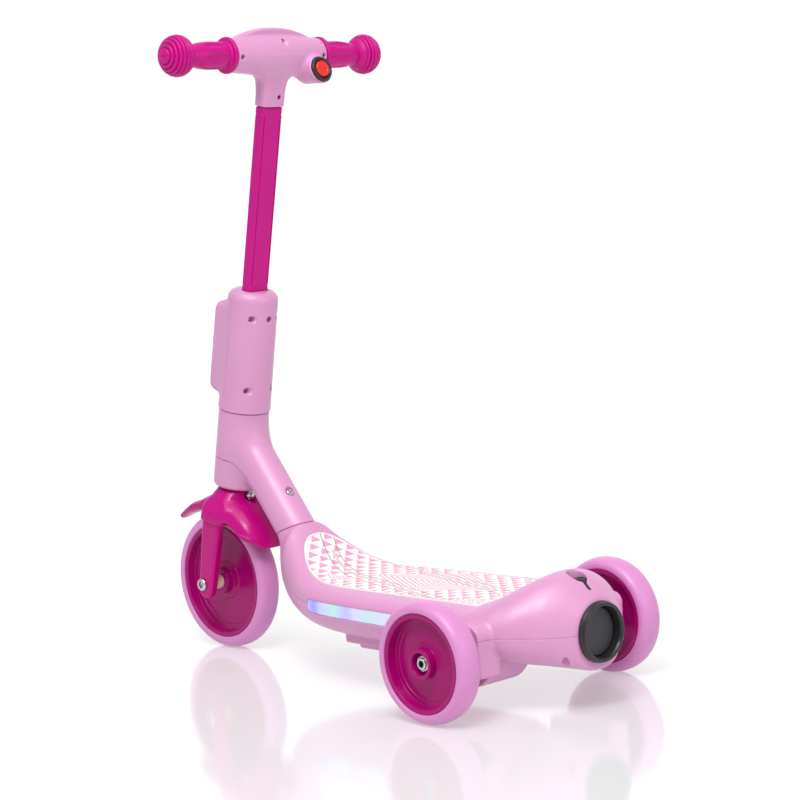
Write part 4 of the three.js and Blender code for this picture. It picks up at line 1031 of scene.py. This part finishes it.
fluid("deck_upper_shell", upper_shell_field, (-110, -116, 76), (382, 116, 166), DECK_STEP, "frame", PINK)
fluid("deck_lower_shell", lower_shell_field, (-110, -116, 35), (382, 116, 142), DECK_STEP, "frame", PINK)

# ---- mat
MAT_BORDER, MAT_PROUD, MAT_SUNK, MAT_DEEP = 1.7, 0.6, 0.5, 1.1
MAT_COLUMNS, MAT_SHIFT = 91, 1.5      # points across, and how far the pattern sits to the right
LINE_LEFT = [
    (40, 68), (90, 62.5), (137, 53), (190, 39.5), (240, 24.5), (262, 18), (280, 12.5), (300, 6), (318, 0),
    (332, -6.5)]
LINE_RIGHT = [
    (40, 64), (100, 47), (150, 32.5), (190, 21), (231, 9.8), (260, 0.5), (274, -3), (290, -7.5),
    (308, -13.6), (324, -21.8)]
BAND = [(55, 68), (101, 55), (148, 41.5), (198, 27), (244, 13.2), (269, 6.1), (288, 0.4), (303, -3.2)]
MAT_TURN_U = 332.0                            # the curves repeat, turned about, from the other end


def mat_height(x, y):
    """Height of the deck's top surface at a point."""
    seam, half, square = along(SEAM_LINE, x), along(HALF_LINE, x), along(TOP_SQUARE, x)
    return seam + (deck_ridge(x) - seam) * (1 - least(abs(y) / half, 0.995) ** square) ** (1 / square)


def off_line(line, u, v):
    """Signed distance across the mat from a curve, big past the curve's ends."""
    lean = (along(line, u + 1) - along(line, u - 1)) / 2
    gap = (v - along(line, u)) / np.sqrt(1 + lean ** 2)
    return np.where((u < line[0][0]) | (u > line[-1][0]), 99.0, gap)


def nearer(a, b):
    return np.where(abs(a) < abs(b), a, b)


def deck_mat():
    tip = 308 + 12.6 * np.sin(np.linspace(0.06, 1.53, 26))
    x = np.concatenate([np.linspace(0, 238, 170), np.linspace(239.2, 308, 72), tip])
    rows, columns = len(x), MAT_COLUMNS
    even = np.linspace(-1, 1, columns)
    across = 0.35 * (np.sin(even * math.pi / 2 * 0.93) / math.sin(math.pi / 2 * 0.93)) + 0.65 * even
    wide = along(MAT_LINE, x)
    wide = np.where(x < 4, wide - 4 + np.sqrt(most(16 - (4 - x) ** 2, 0)), wide)
    gx, gy = np.repeat(x[:, None], columns, 1), wide[:, None] * across
    dx = mat_height(gx + 0.5, gy) - mat_height(gx - 0.5, gy)
    dy = mat_height(gx, gy + 0.5) - mat_height(gx, gy - 0.5)
    normal = np.stack([-dx, -dy, np.ones_like(dx)], 2)
    normal /= np.linalg.norm(normal, axis=2, keepdims=True)
    inside = np.clip(-mat_edge(gx, gy), 0, 99)
    rim = np.sqrt(np.clip(1 - (1 - np.clip(inside / 0.8, 0, 1)) ** 2, 0, 1))
    border = 0.28 * np.clip((MAT_BORDER - inside) / 0.5, 0, 1)
    lift = -MAT_SUNK + (MAT_PROUD + MAT_SUNK) * rim + border * rim
    place = np.stack([gx, gy, mat_height(gx, gy)], 2)
    top = place + normal * lift[:, :, None]
    under = place - normal * MAT_DEEP
    ridge = np.concatenate([[0], np.cumsum(hypot(np.diff(x), np.diff(mat_height(x, 0 * x))))])
    gu = np.repeat(ridge[:, None], columns, 1)
    verts = np.concatenate([top.reshape(-1, 3), under.reshape(-1, 3)])
    faces = []
    total = rows * columns
    for i in range(rows - 1):
        for a in range(i * columns, (i + 1) * columns - 1):
            b = a + columns
            faces += [(a, b, b + 1, a + 1), (total + a, total + a + 1, total + b + 1, total + b)]
    grid = np.arange(total).reshape(rows, columns)
    loop = [*grid[0], *grid[1:, -1], *grid[-1, -2::-1], *grid[-2:0:-1, 0]]
    faces += [(a, b, total + b, total + a) for a, b in zip(loop, loop[1:] + loop[:1])]
    made = piece("deck_mat", verts, outward(verts, faces), "frame", MAT_PRINT, sharp=50)

    def both_ways(line):
        return nearer(off_line(line, gu, gy), off_line(line, MAT_TURN_U - gu, -gy))

    layers = {"mat_u": gu, "mat_v": gy + MAT_SHIFT, "mat_inside": inside, "mat_band": both_ways(BAND),
              "mat_lines": nearer(both_ways(LINE_LEFT), both_ways(LINE_RIGHT))}
    for name, values in layers.items():
        layer = made.data.attributes.new(name, "FLOAT", "POINT")
        flat = values.reshape(-1)
        layer.data.foreach_set("value", np.concatenate([flat, flat]).astype(np.float32))


deck_mat()

# ---- light strips
def strip_field(x, y, z):
    skin = deck_skin(x, y, z)
    lens = smax(most(skin + 0.35, -(skin + 2.6)), strip_side(x, z, 0.0), 0.6)
    return most(lens, 60 - abs(y))


for name, low, high in (("light_strip_left", 72, 106), ("light_strip_right", -106, -72)):
    fluid(name, strip_field, (92, low, 78), (252, high, 97), DECK_STEP, "frame", LENS, rounds=2)

# ---- under the deck
def gearbox_field(x, y, z):
    r = hypot(x - DRUM_X, z - AXLE_Z)
    ends = abs(y - 59.5) - 30.5
    drum = np.where(y > 59.5, pair(r - DRUM_R, ends, 0.8), pair(r - DRUM_R, ends, 6))
    groove = most(abs(y - 74) - 1.4, DRUM_R - 0.9 - r)
    hollow = most(r - DRUM_R + 2.5, abs(y - 60.5) - 27)
    drum = most(smax(drum, -groove, 0.5), -hollow)
    return most(drum, AXLE_HOLE_R - hypot(x, z - AXLE_Z))


fluid("gearbox_housing", gearbox_field, (-46, 27, 24), (34, 92, 103), 1.1, "frame", PINK, rounds=2)


DOOR_X, DOOR_CORNER, RIB_PITCH = 113, 4, 5
DOOR_SCREW_X = 184


def door_field(x, y, z):
    plate = block(x, y, z, DOOR_X, 0, 39.82, 76.6, 41.6, 1.32, 1)
    corners = hypot(most(abs(x - DOOR_X) - 72.6, 0), most(abs(y) - 37.6, 0)) - DOOR_CORNER
    plate = most(plate, corners)
    ribs = abs(np.mod(x, RIB_PITCH) - RIB_PITCH / 2) - 1.0
    notch = most(most(ribs, abs(y) - 17), abs(x - 50) - 8.4)
    plate = smax(plate, -most(notch, z - 39.1), 0.4)
    screw = hypot(x - DOOR_SCREW_X, y) - 3.1
    return most(plate, -most(screw, z - 39.8))


fluid("battery_door", door_field, (34, -44, 37), (192, 44, 43), np.array([1.0, 1.0, 0.5]), "frame", PINK,
      rounds=1)


def lathe_piece(name, profile, origin, axis, body, material, segments=72, ease=0.4):
    closed = eased(profile, ease) if profile[0][0] == 0 else eased([*profile, profile[0]], ease)[:-1]
    verts, faces = turned(closed, segments)
    piece(name, about(verts, origin, axis), faces, body, material, sharp=32)


PORT_RING = [(26, 97), (29.3, 97), (29.3, 107.35), (32, 107.35), (32, 110.6), (30.9, 111.4), (30.8, 114.9),
             (28.4, 115), (27.2, 114.6), (26.1, 112.2)]
PORT_DISC = [(0, 98), (25.65, 98), (25.65, 103.2), (24.6, 104.5), (9, 104.3), (0, 104.3)]
lathe_piece("port_ring", PORT_RING, (0, 0, PORT_Z), (-1, 0, 0), "frame", DARK, 128, 0.7)
lathe_piece("port_disc", PORT_DISC, (0, 0, PORT_Z), (-1, 0, 0), "frame", DARK_DISC, 128, 0.5)


def bubble_field(x, y, z):
    pod = pair(hypot(y, z - PORT_Z) - 23.8, abs(-x - 76.5) - 16.4, 3)
    post = most(hypot(x - KEYHOLE_X, y) - 13, z - 120.4)
    body = smin(pod, most(post, PORT_Z - z), 3)
    fill = KEYHOLE_R - 0.5
    top = most(z - 133.4 - 0.8 * np.sin(y / 2.6), deck_skin(x, y, z) + 2.2)
    tongue = most(hypot(x - KEYHOLE_X, y) - fill, most(top, 112 - z))
    bar = most(abs(y) - SLOT_HALF + 0.4, most(SLOT_END + 1 - x, x - KEYHOLE_X))
    bar = most(bar, most(top, 116 - z))
    return smin(body, least(tongue, bar), 0.8)


fluid("bubble_unit", bubble_field, (-98.5, -26, 55), (-58, 26, 137), 0.9, "frame", DARK, rounds=2)

# ---- axles, nuts and screws
def hexagon(u, v, flat_half):
    return most(abs(u), most(abs(u * 0.5 + v * 0.866), abs(u * 0.5 - v * 0.866))) - flat_half


def fastener(name, field, reach, high, origin, axis, body, step=0.42):
    """A small turned or hexagonal piece given by field(u, v, h), h along its axis."""
    verts, faces = net(field, (-reach, -reach, high[0]), (reach, reach, high[1]), step)
    piece(name, about(settle(verts, faces, 1), origin, axis), faces, body, CHROME, sharp=35)


def lock_nut(u, v, h):
    """Hexagonal nut with a collar, its bore open."""
    r = hypot(u, v)
    nut = most(hexagon(u, v, 7.75), abs(h - 2.1) - 2.1)
    nut = smax(nut, r + 0.9 * abs(h - 2.1) - 10.1, 0.4)
    collar = pair(r - 6.3, abs(h - 4.6) - 1.5, 0.8)
    nut = smin(nut, collar, 0.4)
    bore = np.where(h > 2.6, 3.6, 5.3)
    return smax(nut, bore - r, 0.2)


def acorn_nut(u, v, h):
    r = hypot(u, v)
    nut = most(hexagon(u, v, 5.3), abs(h - 2.1) - 1.9)
    nut = smax(nut, r + 0.9 * abs(h - 2.1) - 7.0, 0.3)
    cap = hypot(r, most(h - 2.6, 0) * 1.25) - 4.5
    return smin(nut, most(cap, 0.2 - h), 0.3)


def socket(u, v, h, key, floor_h):
    return most(hexagon(u, v, key), floor_h - h)


def dome(u, v, h, radius, height, roundness):
    return most(pair(hypot(u, v) - radius, h - height, height * roundness), -h)


def cross_head(radius, height):
    def field(u, v, h):
        arms = least(most(abs(u) - 0.55, abs(v) - radius * 0.55), most(abs(v) - 0.55, abs(u) - radius * 0.55))
        return smax(dome(u, v, h, radius, height, 0.7), -most(arms, height * 0.3 - h), 0.2)
    return field


def with_shank(head, radius, length):
    def field(u, v, h):
        shank = pair(hypot(u, v) - radius, abs(h + length / 2 - 0.1) - length / 2 - 0.1, 0.3)
        return least(head(u, v, h), shank)
    return field


FRONT_AXLE = (WHEEL_X, 0, WHEEL_S)
for side, word in ((1, "left"), (-1, "right")):
    fastener("axle_nut_" + word, lock_nut, 10, (-0.4, 6.8), (0, 144.9 * side, AXLE_Z), (0, side, 0), "frame")
    for name, inner, outer, r, origin, body in (
            ("axle_spacer_", 112.35, 125.15, 9, (0, 0, AXLE_Z), "frame"),
            ("front_spacer_", 14.4, 27.9, 8.5, FRONT_AXLE, "steering")):
        low, high = sorted((inner * side, outer * side))
        sleeve = [(AXLE_HOLE_R, low), (r, low), (r, high), (AXLE_HOLE_R, high)]
        lathe_piece(name + word, sleeve, origin, (0, 1, 0), body, NYLON, 48)
lathe_piece("rear_axle", [(0, -147), (4.5, -147), (5, -146), (5, 146), (4.5, 147), (0, 147)], (0, 0, AXLE_Z),
            (0, 1, 0), "frame", DARK_STEEL, 40, 0.3)


def axle_bolt(u, v, h):
    head_h = h - 40.35
    head = smax(dome(u, v, head_h, 7.4, 3.65, 0.62), -socket(u, v, head_h, 3.7, 3.65 * 0.3), 0.25)
    body = least(head, pair(hypot(u, v) - 5, abs(h + 2.3) - 42.7, 0.5))
    return smax(body, -socket(u, v, h, 3.7, 37.5), 0.25)


fastener("front_axle_bolt", axle_bolt, 8, (-45.6, 44.6), FRONT_AXLE, (0, 1, 0), "steering")
fastener("front_axle_nut", lambda u, v, h: lock_nut(u, v, h * 1.32), 10, (-0.4, 5),
         (WHEEL_X, -40.35, WHEEL_S), (0, -1, 0), "steering")
fastener("crown_nut", acorn_nut, 7, (0.1, 6.6), CROWN_NUT_AT, (-1, 0, 0), "steering", 0.3)
fastener("neck_bolt", with_shank(cross_head(4.7, 2.3), 2.3, 16), 5.2, (-16.6, 2.8),
         (361.6, 0, 194.1), BOLT_OUT, "frame", 0.3)
for i, (at_y, at_s) in enumerate([(60.0, 714.5), (-61.5, 715.5)]):
    seat = float(housing_face(at_y, at_s)) + 6.0
    fastener("housing_screw_%d" % (i + 1), with_shank(cross_head(1.7, 1.3), 0.9, 5), 2.2, (-5.4, 1.8),
             (seat, at_y, at_s), (-1, 0, 0), "steering", 0.22)
for i, at_s in enumerate([411.5, 326]):
    fastener("cover_screw_%d" % (i + 1), with_shank(cross_head(2.5, 1.7), 1.4, 16), 3, (-16.6, 2.4),
             (-15.4, 18.5, at_s), (-1, 0, 0), "steering", 0.3)
fastener("tail_screw", with_shank(cross_head(2.9, 2.6), 1.3, 6.3), 3.4, (-6.8, 3.2),
         (TAIL_SCREW_X, 0, 49.4), (0, 0, -1), "frame", 0.3)
fastener("battery_door_screw", cross_head(2.3, 1.0), 3, (-0.3, 1.5),
         (DOOR_SCREW_X, 0, 39.6), (0, 0, -1), "frame", 0.25)

# ---- camera, floor and light
YAW, PITCH, ROLL = -0.7614, 0.1010, -0.0569
CAMERA_AT = (-1631.1, 1713.8, 560.9)
FOCAL_LENGTH = 2279.5 / 800           # as a share of the frame's width
look = Vector((math.cos(YAW) * math.cos(PITCH), math.sin(YAW) * math.cos(PITCH), -math.sin(PITCH)))
right = look.cross(Vector((0, 0, 1))).normalized()
up = right.cross(look)
right, up = right * math.cos(ROLL) + up * math.sin(ROLL), up * math.cos(ROLL) - right * math.sin(ROLL)
camera_data = bpy.data.cameras.new("camera")
camera = in_scene("camera", camera_data)
turn = Matrix((right, up, -look)).transposed().to_4x4()
camera.matrix_world = Matrix.Translation(on_frame(CAMERA_AT)) @ turn
camera_data.sensor_width = 36
camera_data.lens = FOCAL_LENGTH * 36
camera_data.clip_end = 60
bpy.context.scene.camera = camera

floor_mesh = bpy.data.meshes.new("floor")
floor_mesh.from_pydata([(-30, -30, 0), (30, -30, 0), (30, 30, 0), (-30, 30, 0)], [], [(0, 1, 2, 3)])
floor = in_scene("floor", floor_mesh)
paper, tree, shader = new_material("floor_paper")
link(tree, tint(tree, noise(tree, 3), (0.52, 0.52, 0.53), 0.01), shader.inputs["Base Color"])
preset(shader, Roughness=0.1, IOR=1.8, Emission_Color=(1, 1, 1, 1), Emission_Strength=0.31)
floor_mesh.materials.append(paper)

world = bpy.data.worlds.new("studio")
bpy.context.scene.world = world
world.use_nodes = True
sky = world.node_tree
backdrop = sky.nodes["Background"]
preset(backdrop, Strength=1.02)
split = node(sky, "ShaderNodeSeparateXYZ")
link(sky, node(sky, "ShaderNodeTexCoord").outputs["Generated"], split.inputs[0])
ahead = maths(sky, "MULTIPLY", split.outputs["X"], 0.724)
ahead = maths(sky, "MULTIPLY_ADD", split.outputs["Y"], -0.69, ahead)
link(sky, ranged(sky, ahead, 0.6, 0.86, 0.5, 1.0, "SMOOTHSTEP"), backdrop.inputs["Color"])


def facing(direction):
    return Vector(direction).to_track_quat("-Z", "Y").to_euler()


def lamp(name, at, aim, size, power):
    data = bpy.data.lights.new(name, "AREA")
    data.energy = power
    data.size = size
    obj = in_scene(name, data)
    obj.location = at
    obj.rotation_euler = facing(Vector(aim) - Vector(at))


sun_data = bpy.data.lights.new("sun", "SUN")
sun_data.energy = 1.5
sun_data.angle = math.radians(50)
in_scene("sun", sun_data).rotation_euler = facing((0.25, -0.35, -1.0))
lamp("key", (-0.9, 1.2, 2.0), (0, 0, 0.3), 0.7, 17)
lamp("rear", (-2.3, -0.4, 1.0), (0, 0, 0.35), 1.2, 7)
bpy.context.scene.view_settings.view_transform = "Standard"
